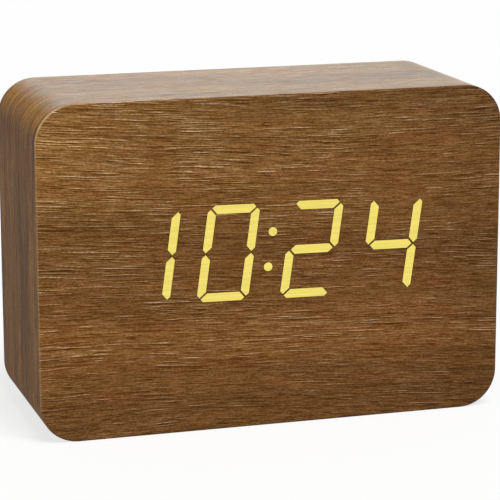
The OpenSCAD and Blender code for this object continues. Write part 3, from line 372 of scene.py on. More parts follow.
# %% Crowd the flecks and stack the layers
CROWD_SIZE, CROWD_PLACE = (30, 12), (3, 0, 1)
FEWEST, MOST = 0.88, 1.1
# Towards the upper left the flecks, painted highlights and shades, crowd a little more.
LEAN_START, LEAN_END = -60 * MM, 130 * MM
FEWER, MORE = 0.93, 1.03
crowd = add(tree, "Mapping", {"Vector": where, "Scale": per(*sheet_lay(*CROWD_SIZE)),
                              "Location": CROWD_PLACE})
crowd = add(tree, "TexNoise", {"Vector": crowd.outputs[0], "Scale": 1, "Detail": 1})
crowd = add(tree, "MapRange", {0: crowd.outputs[0], 1: NOISE_LOW, 2: NOISE_HIGH, 3: FEWEST,
                               4: MOST})
lean = add(tree, "MapRange", {0: lean, 1: LEAN_START, 2: LEAN_END, 3: FEWER, 4: MORE})
crowd = add(tree, "Math", {0: crowd.outputs[0], 1: lean.outputs[0]}, operation="MULTIPLY")
colour, lines = stack_tints(tree, bent, sheet_lay, base.outputs[0], SHEET_LAYERS,
                            crowd.outputs[0])
print("flecks crowd into parts of", CROWD_SIZE, "mm")

# %% [markdown]
# ## Edges of the sheet
# The eased edge is painted pale round the upper left corner and a little down the left, a
# painted highlight. Painted shade darkens it along the right and the foot, and the narrow
# walls round the lit windows too.
# The edge could be a material of its own, but the solid is one piece, so its faces are told
# apart by their direction: a face that doesn't look forwards or backwards is an edge.

# %% Paint a highlight and shade on the edges
# Colours of the painted highlight, the painted shade, and the painted shade in the window walls.
EDGE_PAINTED_HIGHLIGHT = linear("#c7a878")
EDGE_PAINTED_SHADE = linear("#3a2a18")
GROOVE_PAINTED_SHADE = linear("#2e2410")
FLAT_ENOUGH = 0.9
# An oval round all the windows: its middle, and one over its half length and half height.
WINDOWS_MIDDLE, WINDOWS_OVAL = [0, 0, 56 * MM], [1 / (55 * MM), 0, 1 / (25 * MM)]
# Axis, where the painted light starts and where it is full in mm, and how strong it is at
# each: a painted highlight at the corner and the left, painted shade at the right and the foot.
EDGE_PAINTED_LIGHT = {"corner": (2, 91, 99, 0.24, 0.6), "left": (0, -62, -69, 0, 1),
        "right": (0, 58, 72, 0, 0.85), "foot": (2, 12, 3, 0, 0.85)}

facing = add(tree, "SeparateXYZ", {0: coords.outputs["Normal"]})
facing = add(tree, "Math", {0: facing.outputs[1]}, operation="ABSOLUTE")
edge = add(tree, "Math", {0: facing.outputs[0], 1: FLAT_ENOUGH}, operation="LESS_THAN")
window = add(tree, "VectorMath", {0: where, 1: WINDOWS_MIDDLE}, operation="SUBTRACT")
window = add(tree, "VectorMath", {0: window.outputs[0], 1: WINDOWS_OVAL}, operation="MULTIPLY")
window = add(tree, "VectorMath", {0: window.outputs[0]}, operation="LENGTH")
window = add(tree, "Math", {0: window.outputs["Value"], 1: 1}, operation="LESS_THAN")
reach = {name: add(tree, "MapRange", {0: spot[axis], 1: start * MM, 2: full * MM, 3: weak,
                                      4: strong})
         for name, (axis, start, full, weak, strong) in EDGE_PAINTED_LIGHT.items()}
# The painted highlight: round the upper left corner and down the left edge.
pale = add(tree, "Math", {0: reach["corner"].outputs[0], 1: reach["left"].outputs[0]},
           operation="MULTIPLY")
# Painted shade in the window walls, the painted highlight, then painted shade along the right and
# the foot.
for tint, part in ((GROOVE_PAINTED_SHADE, window), (EDGE_PAINTED_HIGHLIGHT, pale), (EDGE_PAINTED_SHADE, reach["right"]),
                   (EDGE_PAINTED_SHADE, reach["foot"])):
    lit_and_shaded = add(tree, "Math", {0: edge.outputs[0], 1: part.outputs[0]}, operation="MULTIPLY")
    colour = add(tree, "Mix", {0: lit_and_shaded.outputs[0], 6: colour, 7: tint},
                 data_type="RGBA").outputs[2]
tree.links.new(colour, shader.inputs["Base Color"])
print("edges are worn in", len(EDGE_PAINTED_LIGHT), "places")

# %% Gloss and relief of the sheet
DULL_LINES, GLOSSY_LINES = 0.62, 0.5
EMBOSSED = 0.03 * MM
rough = add(tree, "MapRange", {0: lines, 1: NOISE_LOW, 2: NOISE_HIGH, 3: DULL_LINES,
                               4: GLOSSY_LINES})
tree.links.new(rough.outputs[0], shader.inputs["Roughness"])
bump = add(tree, "Bump", {"Height": lines, "Distance": EMBOSSED, "Strength": 0.6})
tree.links.new(bump.outputs[0], shader.inputs["Normal"])
wear_finish(foil.name, "front_veneer", "rear_veneer")
print("front foil has", len(tree.nodes), "nodes")

# %% [markdown]
# ## The foil that wraps the sides
# The same foil runs round the top, sides and bottom in one strip, with its grain along the
# strip. It is smoother than the front: the top catches the white of the studio at a low
# angle and turns pale, while the upright sides are duller. Its colour adds to this: the sides
# are painted darker, a painted shade, and the rounded corners and the top paler, a painted
# highlight and a painted reflection. The strip could be unrolled on a UV map, but there is
# no need: the grain's sizes are long along X and Z and short along Y, so the streaks follow
# the rounded corners by themselves.

# %% Streaks of the wrap
# Brown of the sides, the rounded corners and the top: one foil, painted darker on the sides
# as shade, golden on the corners as a painted highlight, and paler on the top as a painted
# reflection.
WRAP_BROWNS_PAINTED_LIGHT = [(0.05, linear("#6e4c25")), (0.65, linear("#8e652b")), (0.97, linear("#89683b"))]
STRIP_WANDER_SIZE = (70, 20)
STRIP_WANDER = 3 * MM
# Broad bands, reddish patches, golden patches, streaks of two widths, and the fine layers.
STRIP_LAYERS = (
    ((90, 7), 1, 0, 0.38, 0.62, (0.79, 0.78, 0.78), (1.21, 1.20, 1.17), False),
    ((70, 4.5), 3, 0, 0.50, 0.70, NO_TINT, (0.95, 0.84, 0.86), False),
    ((60, 5), 8, 0, 0.50, 0.66, NO_TINT, (1.10, 1.08, 1.0), False),
    ((36, 2.0), 4, 0, 0.42, 0.58, (0.84, 0.83, 0.80), (1.16, 1.17, 1.20), False),
    ((20, 1.0), 12, 0, 0.42, 0.58, (0.84, 0.82, 0.78), (1.16, 1.18, 1.22), False),
    DARK_LINES,
) + FINE_GRAIN


def strip_lay(along, across):
    """Sizes along and across the grain of the wrapped strip, as X, Y and Z."""
    return along, across, along


# Wrapped foil: smoother than the front, so that it mirrors a pale studio on the top.
wrap, tree, shader = start_finish("walnut_foil_wrapped", {"IOR": 1.38})
coords = add(tree, "TexCoord")
where = coords.outputs["Object"]
drift = add(tree, "Mapping", {"Vector": where, "Scale": per(*strip_lay(*STRIP_WANDER_SIZE))})
drift = add(tree, "TexNoise", {"Vector": drift.outputs[0], "Scale": 1, "Detail": 1})
bent = add(tree, "VectorMath", {0: drift.outputs["Color"], 1: [0, STRIP_WANDER, 0], 2: where},
           operation="MULTIPLY_ADD").outputs[0]
facing = add(tree, "SeparateXYZ", {0: coords.outputs["Normal"]})
# The facing picks the brown, so shade and highlight are painted by direction.
painted_light_browns = add(tree, "ValToRGB", {0: facing.outputs[2]}, stops=WRAP_BROWNS_PAINTED_LIGHT)
colour, lines = stack_tints(tree, bent, strip_lay, painted_light_browns.outputs[0], STRIP_LAYERS)
print(len(STRIP_LAYERS), "layers on the wrap")

# %% Rim, gloss and relief of the wrap
# Where the strip meets the front and the rear sheet it is painted darker on the sides, a
# painted shade at the joint, and paler on top, a painted highlight.
RIM_SIDE_PAINTED_SHADE, RIM_TOP_PAINTED_HIGHLIGHT = (0.84, 0.86, 0.82), (1.15, 1.10, 1.0)
RIM_START, RIM_END = 26.5 * MM, 28.5 * MM
TOP_START, TOP_FULL = 0.7, 0.98
SIDE_ROUGH, TOP_ROUGH, LINE_ROUGH = 0.85, 0.3, 0.17
EMBOSSED_WRAP = 0.02 * MM
upward = add(tree, "MapRange", {0: facing.outputs[2], 1: TOP_START, 2: TOP_FULL})
depth = add(tree, "SeparateXYZ", {0: where})
depth = add(tree, "Math", {0: depth.outputs[1]}, operation="ABSOLUTE")
rim = add(tree, "MapRange", {0: depth.outputs[0], 1: RIM_START, 2: RIM_END})
tint = add(tree, "Mix", {0: upward.outputs[0], 4: RIM_SIDE_PAINTED_SHADE, 5: RIM_TOP_PAINTED_HIGHLIGHT}, data_type="VECTOR")
tint = add(tree, "Mix", {0: rim.outputs[0], 4: NO_TINT, 5: tint.outputs[1]}, data_type="VECTOR")
colour = add(tree, "VectorMath", {0: colour, 1: tint.outputs[1]}, operation="MULTIPLY").outputs[0]
tree.links.new(colour, shader.inputs["Base Color"])
rough = add(tree, "MapRange", {0: upward.outputs[0], 3: SIDE_ROUGH, 4: TOP_ROUGH})
grained = add(tree, "MapRange", {0: lines, 1: NOISE_LOW, 2: NOISE_HIGH, 3: LINE_ROUGH,
                                 4: -LINE_ROUGH})
rough = add(tree, "Math", {0: rough.outputs[0], 1: grained.outputs[0]}, operation="ADD")
tree.links.new(rough.outputs[0], shader.inputs["Roughness"])
bump = add(tree, "Bump", {"Height": lines, "Distance": EMBOSSED_WRAP, "Strength": 0.5})
tree.links.new(bump.outputs[0], shader.inputs["Normal"])
wear_finish(wrap.name, "veneer_wrap")
print("wrap foil has", len(tree.nodes), "nodes")

# %% [markdown]
# ## The lit digits
# Behind each window a row of lamps shines through a milky film and the thin veneer, so a
# segment looks like an even yellow patch with hardly any grain. Lamps could stand behind a
# see-through window, but a glowing surface is even and quick to render. The windows are
# solids of their own, and a dark groove sets each one off from the wood; the groove's walls
# are darkened with painted shade. Only the front of a window glows: its sides stay dark, or
# the groove would fill with light.

# %% Glow of the windows
GLOW = linear("#efda6d")
WINDOW_GRAIN = (12, 12, 0.5)
DIMMEST, BRIGHTEST = 0.93, 1.06
FORWARDS = -0.9
# Veneer lit from behind: dark when off, and a warm yellow with a trace of grain when lit.
glow, tree, shader = start_finish("veneer_lit_from_behind", {
    "Base Color": linear("#2a2410"), "Roughness": 0.6, "Specular IOR Level": 0.1,
    "Emission Strength": 1})
coords = add(tree, "TexCoord")
grain = add(tree, "Mapping", {"Vector": coords.outputs["Object"], "Scale": per(*WINDOW_GRAIN)})
grain = add(tree, "TexNoise", {"Vector": grain.outputs[0], "Scale": 1, "Detail": 1})
level = add(tree, "MapRange", {0: grain.outputs[0], 1: NOISE_LOW, 2: NOISE_HIGH, 3: DIMMEST,
                               4: BRIGHTEST})
facing = add(tree, "SeparateXYZ", {0: coords.outputs["Normal"]})
front = add(tree, "Math", {0: facing.outputs[1], 1: FORWARDS}, operation="LESS_THAN")
level = add(tree, "Math", {0: level.outputs[0], 1: front.outputs[0]}, operation="MULTIPLY")
lit = add(tree, "VectorMath", {0: GLOW[:3], "Scale": level.outputs[0]}, operation="SCALE")
tree.links.new(lit.outputs[0], shader.inputs["Emission Color"])
wear_finish(glow.name, "lit_segments", "lit_colon")
print("lit windows glow", [round(v, 2) for v in GLOW[:3]])

# %% [markdown]
# ## Moulded, plated and drawn finishes
# The rest of the clock is plastic, metal and rubber, each with a mottle in its colour and a
# fine texture left by its making: spark-eroded moulds give a matt grain, rolling gives
# scratches along one way, and drawn sleeves are smooth. Each could have nodes of its own, but
# one function can make them all from the size of the mottle and of the grit, so that the
# list below reads as a table of finishes. Grit that is too fine to show is drawn 0.15 or
# 0.2 mm wide.

# %% A finish from mottle and grit
ROUGH_SPREAD = 0.08


def finish(name, deep, pale, mottle, grit, depth, rough, ior=1.5, metal=0):
    """Two tones that blend over mottle mm, and a grit of some mm with a depth in mm."""
    made, tree, shader = start_finish(name, {"Metallic": metal, "IOR": ior})
    where = add(tree, "TexCoord").outputs["Object"]
    tones = add(tree, "Mapping", {"Vector": where, "Scale": per(*mottle)})
    tones = add(tree, "TexNoise", {"Vector": tones.outputs[0], "Scale": 1, "Detail": 3})
    colour = add(tree, "ValToRGB", {0: tones.outputs[0]},
                 stops=[(0.35, linear(deep)), (0.65, linear(pale))])
    tree.links.new(colour.outputs[0], shader.inputs["Base Color"])
    grain = add(tree, "Mapping", {"Vector": where, "Scale": per(*grit)})
    grain = add(tree, "TexNoise", {"Vector": grain.outputs[0], "Scale": 1, "Detail": 1})
    dull = add(tree, "MapRange", {0: grain.outputs[0], 1: NOISE_LOW, 2: NOISE_HIGH,
                                  3: rough - ROUGH_SPREAD, 4: rough + ROUGH_SPREAD})
    tree.links.new(dull.outputs[0], shader.inputs["Roughness"])
    bump = add(tree, "Bump", {"Height": grain.outputs[0], "Distance": depth * MM})
    tree.links.new(bump.outputs[0], shader.inputs["Normal"])
    return made


def wear_all(table):
    """Makes each finish of a table and puts it on the pieces at the end of its row."""
    for *look, wearers in table:
        finish(*look)
        wear_finish(look[0], *wearers)
    print(len(table), "finishes from", table[0][0], "to", table[-1][0])


print("roughness varies by", ROUGH_SPREAD, "with the grit")

# %% Wood, films and lamps
EVEN_9 = (9, 9, 9)
FINE, SATIN, COARSE = (0.2, 0.2, 0.2), (0.35, 0.35, 0.35), (0.6, 0.6, 0.6)
wear_all((
    # Fibreboard, sawn: felted fibres in two browns, raw and matt.
    ("fibreboard_sawn", "#7e5f3c", "#a6845a", (1.6, 1.6, 0.5), COARSE, 0.08, 0.85, 1.5, 0,
     ("wood_carcass",)),
    # Pine, sawn: pale with darker summer wood along the blocks, which stand along Y.
    ("pine_sawn", "#b98a52", "#dcbb85", (0.9, 14, 2.2), (0.4, 3, 0.4), 0.06, 0.75, 1.5, 0,
     ("corner_blocks",)),
    # Polyester film printed black: smooth and a little shiny.
    ("polyester_film_printed", "#0d0d0e", "#171718", EVEN_9, SATIN, 0.004, 0.38, 1.6, 0,
     ("light_mask",)),
    # Polycarbonate film with a milky filling, which spreads the light.
    ("polycarbonate_film_milky", "#e4e2da", "#f1efe8", EVEN_9, FINE, 0.01, 0.6, 1.58, 0,
     ("diffuser_film",)),
    # White ABS for the reflector: bright and smooth, to throw the light forward.
    ("abs_white_moulded", "#dedcd6", "#ebeae5", EVEN_9, SATIN, 0.006, 0.42, 1.53, 0,
     ("segment_reflector",)),
    # Cast resin over the lamps: pale yellow and shiny.
    ("lamp_resin_cast", "#dccf8e", "#efe6b4", (0.8, 0.8, 0.8), FINE, 0.004, 0.18, 1.54, 0,
     ("segment_lamps",)),
))

# %% Plastics and rubber
EVEN_4 = (4, 4, 4)
SPARKED = (0.45, 0.45, 0.45)
wear_all((
    # Black ABS from spark-eroded moulds: an even fine grain that kills reflections.
    ("abs_black_spark_eroded", "#1a1a1c", "#202022", EVEN_9, SPARKED, 0.05, 0.56, 1.53, 0,
     ("rear_cover",)),
    ("abs_door_spark_eroded", "#1d1d1f", "#232325", EVEN_9, SPARKED, 0.05, 0.54, 1.53, 0,
     ("battery_door",)),
    # Charcoal ABS for the button caps: smoother than the cover, with a satin touch.
    ("abs_charcoal_satin", "#2c2c2f", "#38383b", EVEN_4, FINE, 0.015, 0.36, 1.53, 0,
     ("button_set", "button_alarm", "button_up", "button_down")),
    # Glass-filled plastic of the push switches and their stems.
    ("polyester_switch_moulded", "#1f1f21", "#2e2e31", (1.5, 1.5, 1.5), FINE, 0.015, 0.5, 1.55,
     0, ("switch_housings", "stem_set", "stem_alarm", "stem_up", "stem_down")),
    # Natural nylon: warm white, waxy.
    ("nylon_moulded", "#d9d2bd", "#ece7d7", EVEN_4, SATIN, 0.012, 0.45, 1.53, 0,
     ("ribbon_sockets", "antenna_saddles")),
    # Foam tape: open white cells.
    ("polyethylene_foam", "#dcdcd8", "#f0f0ec", (0.8, 0.8, 0.8), (0.5, 0.5, 0.5), 0.15, 0.9,
     1.5, 0, ("receiver_pad",)),
    # Moulded rubber: black, dull, with a bloom.
    ("rubber_moulded", "#161617", "#262627", (2, 2, 2), SATIN, 0.02, 0.72, 1.52, 0,
     ("microphone_boot",)),
    # Liquid-crystal polymer of the power socket's tongue.
    ("polymer_black_moulded", "#121213", "#1c1c1e", (1.2, 1.2, 1.2), FINE, 0.008, 0.4, 1.6, 0,
     ("usb_insert",)),
    # Wire sleeves, extruded PVC: smooth along the wire.
    ("pvc_red_extruded", "#98201b", "#bb2f28", EVEN_4, SATIN, 0.006, 0.35, 1.53, 0,
     ("positive_lead", "sounder_leads")),
    ("pvc_black_extruded", "#141415", "#202022", EVEN_4, SATIN, 0.006, 0.35, 1.53, 0,
     ("negative_lead",)),
))

# %% Metals and ceramics
ROLLED = (6, 0.15, 0.3)
wear_all((
    # Steel, zinc plated: bluish grey with a faint spangle.
    ("steel_zinc_plated", "#a3a8ad", "#cdd0d2", (0.9, 0.9, 0.9), FINE, 0.006, 0.34, 1.5, 1,
     ("display_screws", "board_screws", "microphone")),
    # Steel, black oxide: dark with grey rubbed through.
    ("steel_black_oxide", "#1d1d1f", "#3b3b3e", (0.7, 0.7, 0.7), FINE, 0.01, 0.44, 1.5, 1,
     ("cover_screws",)),
    # Nickel plate on rolled strip: bright and warm, with fine scratches.
    ("strip_nickel_plated", "#b7b4a9", "#d8d6cd", ROLLED, ROLLED, 0.004, 0.24, 1.5, 1,
     ("usb_shell", "crystal_can", "contact_plates", "contact_springs")),
    # Rolled brass: yellow, slightly tarnished.
    ("brass_rolled", "#a9812f", "#d3ac5b", (2.5, 1, 0.8), ROLLED, 0.004, 0.3, 1.5, 1,
     ("sounder_disc", "usb_contacts")),
    # Fired silver on the ceramic: matt, pale, with a fine scratch from cleaning.
    ("ceramic_silvered", "#cfccc2", "#e9e7e0", (1.4, 1.4, 1.4), FINE, 0.008, 0.4, 1.5, 0.35,
     ("sounder_ceramic",)),
    # Ground ferrite: dark grey with a dull glitter.
    ("ferrite_ground", "#262425", "#3c3a3a", (1, 0.4, 0.4), (3, 0.2, 0.2), 0.01, 0.5, 2.2, 0,
     ("ferrite_rod",)),
    # Enamelled copper: red-brown under a clear varnish.
    ("copper_wire_enamelled", "#8f4a22", "#c0713c", EVEN_4, SATIN, 0.004, 0.28, 1.5, 1,
     ("antenna_coil", "antenna_leads")),
))

# %% [markdown]
# ## Two finishes on one piece
# Some parts are moulded or printed in two materials: a chip has tinned leads, a cell has
# steel ends, a capacitor has a bare can top. The solids could be cut up, but a mask that
# reads a place or a direction on the piece is enough.

# %% Lay a second finish over part of a piece
def overlay(material, mask, colour, rough, metal):
    """Where the mask is 1 the material takes this colour, roughness and metallic value."""
    tree = material.node_tree
    shader = tree.nodes["Principled BSDF"]
    for socket, value in (("Base Color", colour), ("Roughness", rough), ("Metallic", metal)):
        into = shader.inputs[socket]
        under = into.links[0].from_socket if into.links else into.default_value
        if under == value:
            continue
        if socket == "Base Color":
            mixed = add(tree, "Mix", {0: mask, 6: under, 7: value}, data_type="RGBA").outputs[2]
        else:
            mixed = add(tree, "Mix", {0: mask, 2: under, 3: value}).outputs[0]
        tree.links.new(mixed, into)


def place_on(tree):
    """Where a point lies on the piece and which way it faces, split along the axes."""
    coords = add(tree, "TexCoord")
    return (add(tree, "SeparateXYZ", {0: coords.outputs["Object"]}).outputs,
            add(tree, "SeparateXYZ", {0: coords.outputs["Normal"]}).outputs)


TIN = linear("#c2c4c6")
print("tin in linear light", [round(v, 2) for v in TIN[:3]])

# %% Chips with tinned leads
# Moulded epoxy, dull black, over the middle of each chip; bright tin along two sides. Each
# chip has the axis that its leads point along, and half the width of its body in mm.
for name, wearer, axis, half in (("display_driver", "driver_chip", 2, 3.75),
                                 ("clock_chip", "main_chip", 2, 3.75),
                                 ("radio_chip", "receiver_chip", 1, 1.95)):
    low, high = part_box(wearer)
    chip = finish("epoxy_moulded_" + name, "#191919", "#242424", (1.5, 1.5, 1.5), FINE, 0.01,
                  0.48, 1.55, 0)
    spot, _ = place_on(chip.node_tree)
    body = add(chip.node_tree, "Math", {0: spot[axis], 1: (low[axis] + high[axis]) / 2,
                                        2: half * MM}, operation="COMPARE")
    lead = add(chip.node_tree, "Math", {0: 1.0, 1: body.outputs[0]}, operation="SUBTRACT")
    overlay(chip, lead.outputs[0], TIN, 0.25, 1)
    wear_finish(chip.name, wearer)
    print(chip.name, "on", wearer)

# %% Capacitors with a stripe and a bare top
# Shrunk sleeve: dark blue and shiny, with a pale stripe, and the bare aluminium of the top.
STRIPE = 0.9 * MM
FACES_BACK = 0.8
low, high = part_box("capacitors")
sleeve = finish("capacitor_sleeve_shrunk", "#1a2238", "#27304a", EVEN_4, FINE, 0.006, 0.28,
                1.53, 0)
tree = sleeve.node_tree
spot, way = place_on(tree)
stripe = add(tree, "Math", {0: spot[0], 1: high.x - STRIPE}, operation="GREATER_THAN")
overlay(sleeve, stripe.outputs[0], linear("#b9bcc4"), 0.3, 0)
top = add(tree, "Math", {0: way[1], 1: FACES_BACK}, operation="GREATER_THAN")
overlay(sleeve, top.outputs[0], linear("#c9cacb"), 0.3, 1)
wear_finish(sleeve.name, "capacitors")
print("capacitors", round((high.y - low.y) / MM, 1), "mm tall")

# %% Cells with a band and steel ends
# Printed sleeve: plain grey with a pale band at the plus end, and bright steel ends. The
# middle cell of the three lies the other way round.
MIDDLE_CELL = 5 * MM
BAND_START = 9 * MM
FACES_SIDEWAYS = 0.6
low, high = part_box("battery_cells")
middle_z = (low.z + high.z) / 2
cell = finish("cell_sleeve_printed", "#4a5764", "#5a6875", (7, 3, 3), FINE, 0.004, 0.3, 1.5, 0)
tree = cell.node_tree
spot, way = place_on(tree)
turned = add(tree, "Math", {0: spot[2], 1: middle_z, 2: MIDDLE_CELL}, operation="COMPARE")
turned = add(tree, "MapRange", {0: turned.outputs[0], 3: 1, 4: -1})
along = add(tree, "Math", {0: spot[0], 1: turned.outputs[0]}, operation="MULTIPLY")
band = add(tree, "Math", {0: along.outputs[0], 1: BAND_START}, operation="GREATER_THAN")
overlay(cell, band.outputs[0], linear("#b4b9bd"), 0.28, 0.6)
end = add(tree, "Math", {0: way[0]}, operation="ABSOLUTE")
end = add(tree, "Math", {0: end.outputs[0], 1: FACES_SIDEWAYS}, operation="GREATER_THAN")
overlay(cell, end.outputs[0], TIN, 0.28, 1)
wear_finish(cell.name, "battery_cells")
print("row of cells", round((high.x - low.x) / MM, 1), "mm wide")

# %% [markdown]
# ## Circuit boards
# A board is green solder mask over copper. Where copper lies under the mask the green is
# paler, so the tracks show as bundles of fine lines that turn corners. Tracks could be laid
# one by one, but boxy cells that each choose lines along or across look right at this size.

# %% Solder mask with tracks under it
TRACK_PITCH = 1.3 * MM
TRACK_SHARE = 0.4
BLOCK_SIZE = 11
BARE_SHARE = 0.3
# Glass-filled epoxy under solder mask: glossy green.
board = finish("glass_epoxy_solder_mask", "#14492b", "#1d5c36", EVEN_9, FINE, 0.008, 0.3, 1.55, 0)
tree = board.node_tree
where = add(tree, "TexCoord").outputs["Object"]
blocks = add(tree, "Mapping", {"Vector": where, "Scale": per(*[BLOCK_SIZE] * 3)})
blocks = add(tree, "TexVoronoi", {"Vector": blocks.outputs[0], "Scale": 1}, distance="CHEBYCHEV")
pick = add(tree, "SeparateColor", {0: blocks.outputs["Color"]})
split = add(tree, "SeparateXYZ", {0: where})
sideways = add(tree, "Math", {0: split.outputs[1], 1: split.outputs[2]}, operation="ADD")
across = add(tree, "Math", {0: pick.outputs[0], 1: 0.5}, operation="GREATER_THAN")
run = add(tree, "Mix", {0: across.outputs[0], 2: split.outputs[0], 3: sideways.outputs[0]})
run = add(tree, "Math", {0: run.outputs[0], 1: TRACK_PITCH}, operation="PINGPONG")
track = add(tree, "Math", {0: run.outputs[0], 1: TRACK_SHARE * TRACK_PITCH}, operation="LESS_THAN")
laid = add(tree, "Math", {0: pick.outputs[1], 1: BARE_SHARE}, operation="GREATER_THAN")
track = add(tree, "Math", {0: track.outputs[0], 1: laid.outputs[0]}, operation="MULTIPLY")
overlay(board, track.outputs[0], linear("#2c7a47"), 0.26, 0.1)
wear_finish(board.name, "display_board", "control_board", "receiver_board")
print("tracks in blocks of", BLOCK_SIZE, "mm")

# %% [markdown]
# ## Ribbon cable
# A ribbon is thin wires in grey PVC, side by side, and the first one is marked red. The wires
# could be modelled one by one, but the solid is a plain strip 0.9 mm thick inside the closed
# case, so the ridges between the wires are bump.

# %% Ridged ribbon with a red first wire
WIRE_PITCH = 1.27 * MM
low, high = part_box("ribbon_cable")
# Extruded PVC: an even grey with a dull shine.
ribbon = finish("pvc_ribbon_extruded", "#84878b", "#979a9e", EVEN_4, SATIN, 0.006, 0.42, 1.53, 0)
tree = ribbon.node_tree
spot, _ = place_on(tree)
first = add(tree, "Math", {0: spot[0], 1: low.x + WIRE_PITCH}, operation="LESS_THAN")
overlay(ribbon, first.outputs[0], linear("#a5342c"), 0.42, 0)
ridge = add(tree, "Math", {0: spot[0], 1: low.x}, operation="SUBTRACT")
ridge = add(tree, "Math", {0: ridge.outputs[0], 1: WIRE_PITCH / 2}, operation="PINGPONG")
bump = add(tree, "Bump", {"Height": ridge.outputs[0], "Distance": 1.0, "Strength": 0.8})
tree.links.new(bump.outputs[0], tree.nodes["Principled BSDF"].inputs["Normal"])
wear_finish(ribbon.name, "ribbon_cable", "receiver_lead")
print("ribbon", round((high.x - low.x) / MM, 1), "mm wide")

# %% [markdown]
# ## The aerial's winding
# The radio aerial is varnished copper wire, wound turn beside turn on a thin nylon sleeve that
# slips over a ferrite rod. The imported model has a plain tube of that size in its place. A
# curve could follow the turns, but the Screw modifier does what the winding machine does: it
# turns one small circle about the rod and moves it on by the pitch.

# %% Measure the coil and draw the wire
WIRE_RADIUS = 0.27 * MM
WIRE_SIDES = 8
TURN_PITCH = 0.56 * MM
low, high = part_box("antenna_coil")
coil_x, coil_y, coil_z = (low + high) / 2
coil_radius = (high.z - low.z) / 2
turns = int((high.x - low.x - 3 * WIRE_RADIUS) / TURN_PITCH)
start = (coil_x - turns * TURN_PITCH / 2, coil_y, coil_z)

bpy.ops.object.select_all(action="DESELECT")
bpy.ops.mesh.primitive_circle_add(vertices=WIRE_SIDES, radius=WIRE_RADIUS, location=start)
winding = bpy.context.object
winding.name = "aerial_winding"
bpy.ops.object.mode_set(mode="EDIT")
bpy.ops.mesh.select_all(action="SELECT")
bpy.ops.transform.rotate(value=math.pi / 2, orient_axis="X", center_override=start)
bpy.ops.transform.translate(value=(0, 0, coil_radius - WIRE_RADIUS))
bpy.ops.object.mode_set(mode="OBJECT")
print("wire for", turns, "turns on a radius of", round(coil_radius / MM, 2), "mm")

# %% Wind the coil
RING_STEPS = 24
bpy.ops.object.modifier_add(type="SCREW")
screw = winding.modifiers[-1]
screw.axis = "X"
screw.screw_offset = TURN_PITCH
screw.iterations = turns
screw.steps = RING_STEPS
screw.render_steps = RING_STEPS
bpy.ops.object.modifier_apply(modifier=screw.name)
bpy.ops.object.mode_set(mode="EDIT")
bpy.ops.mesh.select_all(action="SELECT")
bpy.ops.mesh.remove_doubles(threshold=0.001 * MM)
bpy.ops.mesh.fill_holes(sides=0)
bpy.ops.mesh.select_all(action="SELECT")
bpy.ops.mesh.normals_make_consistent(inside=False)
bpy.ops.object.mode_set(mode="OBJECT")
bpy.ops.object.transform_apply(location=True, rotation=True, scale=True)
bpy.ops.object.shade_smooth_by_angle(angle=math.radians(60))
winding.data.materials.append(bpy.data.materials["copper_wire_enamelled"])
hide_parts("antenna_coil")
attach(winding, "case")
print("wound", turns, "turns,", len(winding.data.polygons), "faces")

# %% [markdown]
# ## The sleeve under the wire
# The sleeve is a thin nylon tube that slides on the rod. Two cylinders could be bridged, but
# an open cylinder with a wall from the Solidify modifier is quicker, and its wall can be
# measured from the rod and the wire. The wire presses a hair into it.

# %% Sleeve under the wire
SLEEVE_GAP = 0.03 * MM
WIRE_BITE = 0.02 * MM
SLEEVE_SIDES = 48
rod_low, rod_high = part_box("ferrite_rod")
sleeve_inside = (rod_high.z - rod_low.z) / 2 + SLEEVE_GAP
sleeve_outside = coil_radius - 2 * WIRE_RADIUS + WIRE_BITE
bpy.ops.object.select_all(action="DESELECT")
bpy.ops.mesh.primitive_cylinder_add(vertices=SLEEVE_SIDES, radius=sleeve_outside,
                                    depth=high.x - low.x, end_fill_type="NOTHING",
                                    rotation=(0, math.pi / 2, 0),
                                    location=(coil_x, coil_y, coil_z))
sleeve = bpy.context.object
sleeve.name = "aerial_sleeve"
bpy.ops.object.transform_apply(location=True, rotation=True, scale=True)
bpy.ops.object.modifier_add(type="SOLIDIFY")
wall = sleeve.modifiers[-1]
wall.thickness = sleeve_outside - sleeve_inside
wall.offset = -1
bpy.ops.object.modifier_apply(modifier=wall.name)
bpy.ops.object.shade_smooth_by_angle(angle=math.radians(40))
sleeve.data.materials.append(bpy.data.materials["nylon_moulded"])
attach(sleeve, "case")
print("sleeve", round(sleeve_inside / MM, 2), "to", round(sleeve_outside / MM, 2), "mm radius")

# %% [markdown]
# ## Marks printed on the buttons
# Each button carries a small white mark so that a thumb at the back finds it: a clock face to
# set the time, a bell for the alarm, and arrows up and down. Pad printing leaves a film of
# ink that is thinner than paper. A texture could paint it, but a thin solid keeps a sharp
# edge in every view. Each mark is drawn flat from circles and planes, joined, and then
# thickened towards the back of the clock.

# %% Draw one flat shape
UPRIGHT = (math.pi / 2, 0, 0)
TURNED_OVER = (math.pi / 2, math.pi, 0)
ROUND_SIDES = 40
# The lower half of a circle, widened and flattened, is the mouth of a bell.
BELL_MOUTH = (1.3, 1, 0.05)


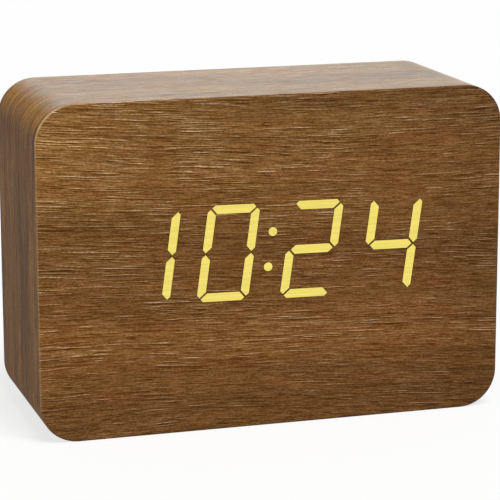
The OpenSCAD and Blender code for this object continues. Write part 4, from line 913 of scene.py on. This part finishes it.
def draw_shape(kind, spot, size, second):
    """A bar, ring, disc, bell or arrow that stands upright at the spot; sizes are in mm."""
    bpy.ops.object.select_all(action="DESELECT")
    if kind == "bar":
        bpy.ops.mesh.primitive_plane_add(size=1 * MM, location=spot, rotation=UPRIGHT)
    else:
        bpy.ops.mesh.primitive_circle_add(vertices=3 if "arrow" in kind else ROUND_SIDES,
                                          radius=size * MM, fill_type="NGON", location=spot,
                                          rotation=TURNED_OVER if kind == "arrow_down" else UPRIGHT)
    shape = bpy.context.object
    bpy.ops.object.mode_set(mode="EDIT")
    bpy.ops.mesh.select_all(action="SELECT")
    if kind == "bar":
        bpy.ops.transform.resize(value=(size, 1, second), center_override=spot)
    elif kind == "ring":
        bpy.ops.mesh.inset(thickness=second * MM)
        bpy.ops.mesh.delete(type="FACE")
    elif kind == "bell":
        bpy.ops.mesh.select_mode(type="VERT")
        bpy.ops.mesh.select_all(action="DESELECT")
        bpy.ops.object.mode_set(mode="OBJECT")
        for corner in shape.data.vertices:
            corner.select = corner.co.y < -0.01 * size * MM
        bpy.ops.object.mode_set(mode="EDIT")
        bpy.ops.transform.resize(value=BELL_MOUTH, center_override=spot)
        bpy.ops.transform.translate(value=(0, 0, -second * MM))
    bpy.ops.object.mode_set(mode="OBJECT")
    return shape


print("shapes have", ROUND_SIDES, "corners round a circle")

# %% Lay the marks on the caps
INK_FILM = 0.06 * MM
INK_SINK = 0.01 * MM
# Pad-printed ink: white, slightly uneven and dull.
ink = finish("ink_white_pad_printed", "#cfcfcc", "#e4e4e1", (0.6, 0.6, 0.6), FINE, 0.004, 0.5)
marks = (
    # Kind, place across and up from the middle of the cap, and two sizes, all in mm.
    ("set", (("ring", 0, 0, 1.5, 0.32), ("bar", 0, 0.33, 0.3, 0.9), ("bar", -0.46, 0, 0.6, 0.3))),
    ("alarm", (("bell", 0, 0.5, 0.85, 1.2), ("bar", 0, -0.93, 2.7, 0.3),
               ("disc", 0, -1.42, 0.3, 0))),
    ("up", (("arrow", 0, -0.2, 1.35, 0),)),
    ("down", (("arrow_down", 0, 0.2, 1.35, 0),)),
)
for key, shapes in marks:
    low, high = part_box("button_" + key)
    drawn = []
    for kind, across, above, size, second in shapes:
        spot = ((low.x + high.x) / 2 + across * MM, high.y - INK_SINK,
                (low.z + high.z) / 2 + above * MM)
        drawn.append(draw_shape(kind, spot, size, second))
    for shape in drawn:
        shape.select_set(True)
    mark = drawn[0]
    bpy.context.view_layer.objects.active = mark
    if len(drawn) > 1:
        bpy.ops.object.join()
    mark.name = "mark_" + key
    bpy.ops.object.transform_apply(location=True, rotation=True, scale=True)
    bpy.ops.object.modifier_add(type="SOLIDIFY")
    film = mark.modifiers[-1]
    film.thickness = INK_FILM
    film.offset = -1
    bpy.ops.object.modifier_apply(modifier=film.name)
    bpy.ops.object.mode_set(mode="EDIT")
    bpy.ops.mesh.select_all(action="SELECT")
    bpy.ops.mesh.normals_make_consistent(inside=False)
    bpy.ops.object.mode_set(mode="OBJECT")
    mark.data.materials.append(ink)
    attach(mark, "button_" + key)
    print(mark.name, len(mark.data.polygons), "faces on", "button_" + key)
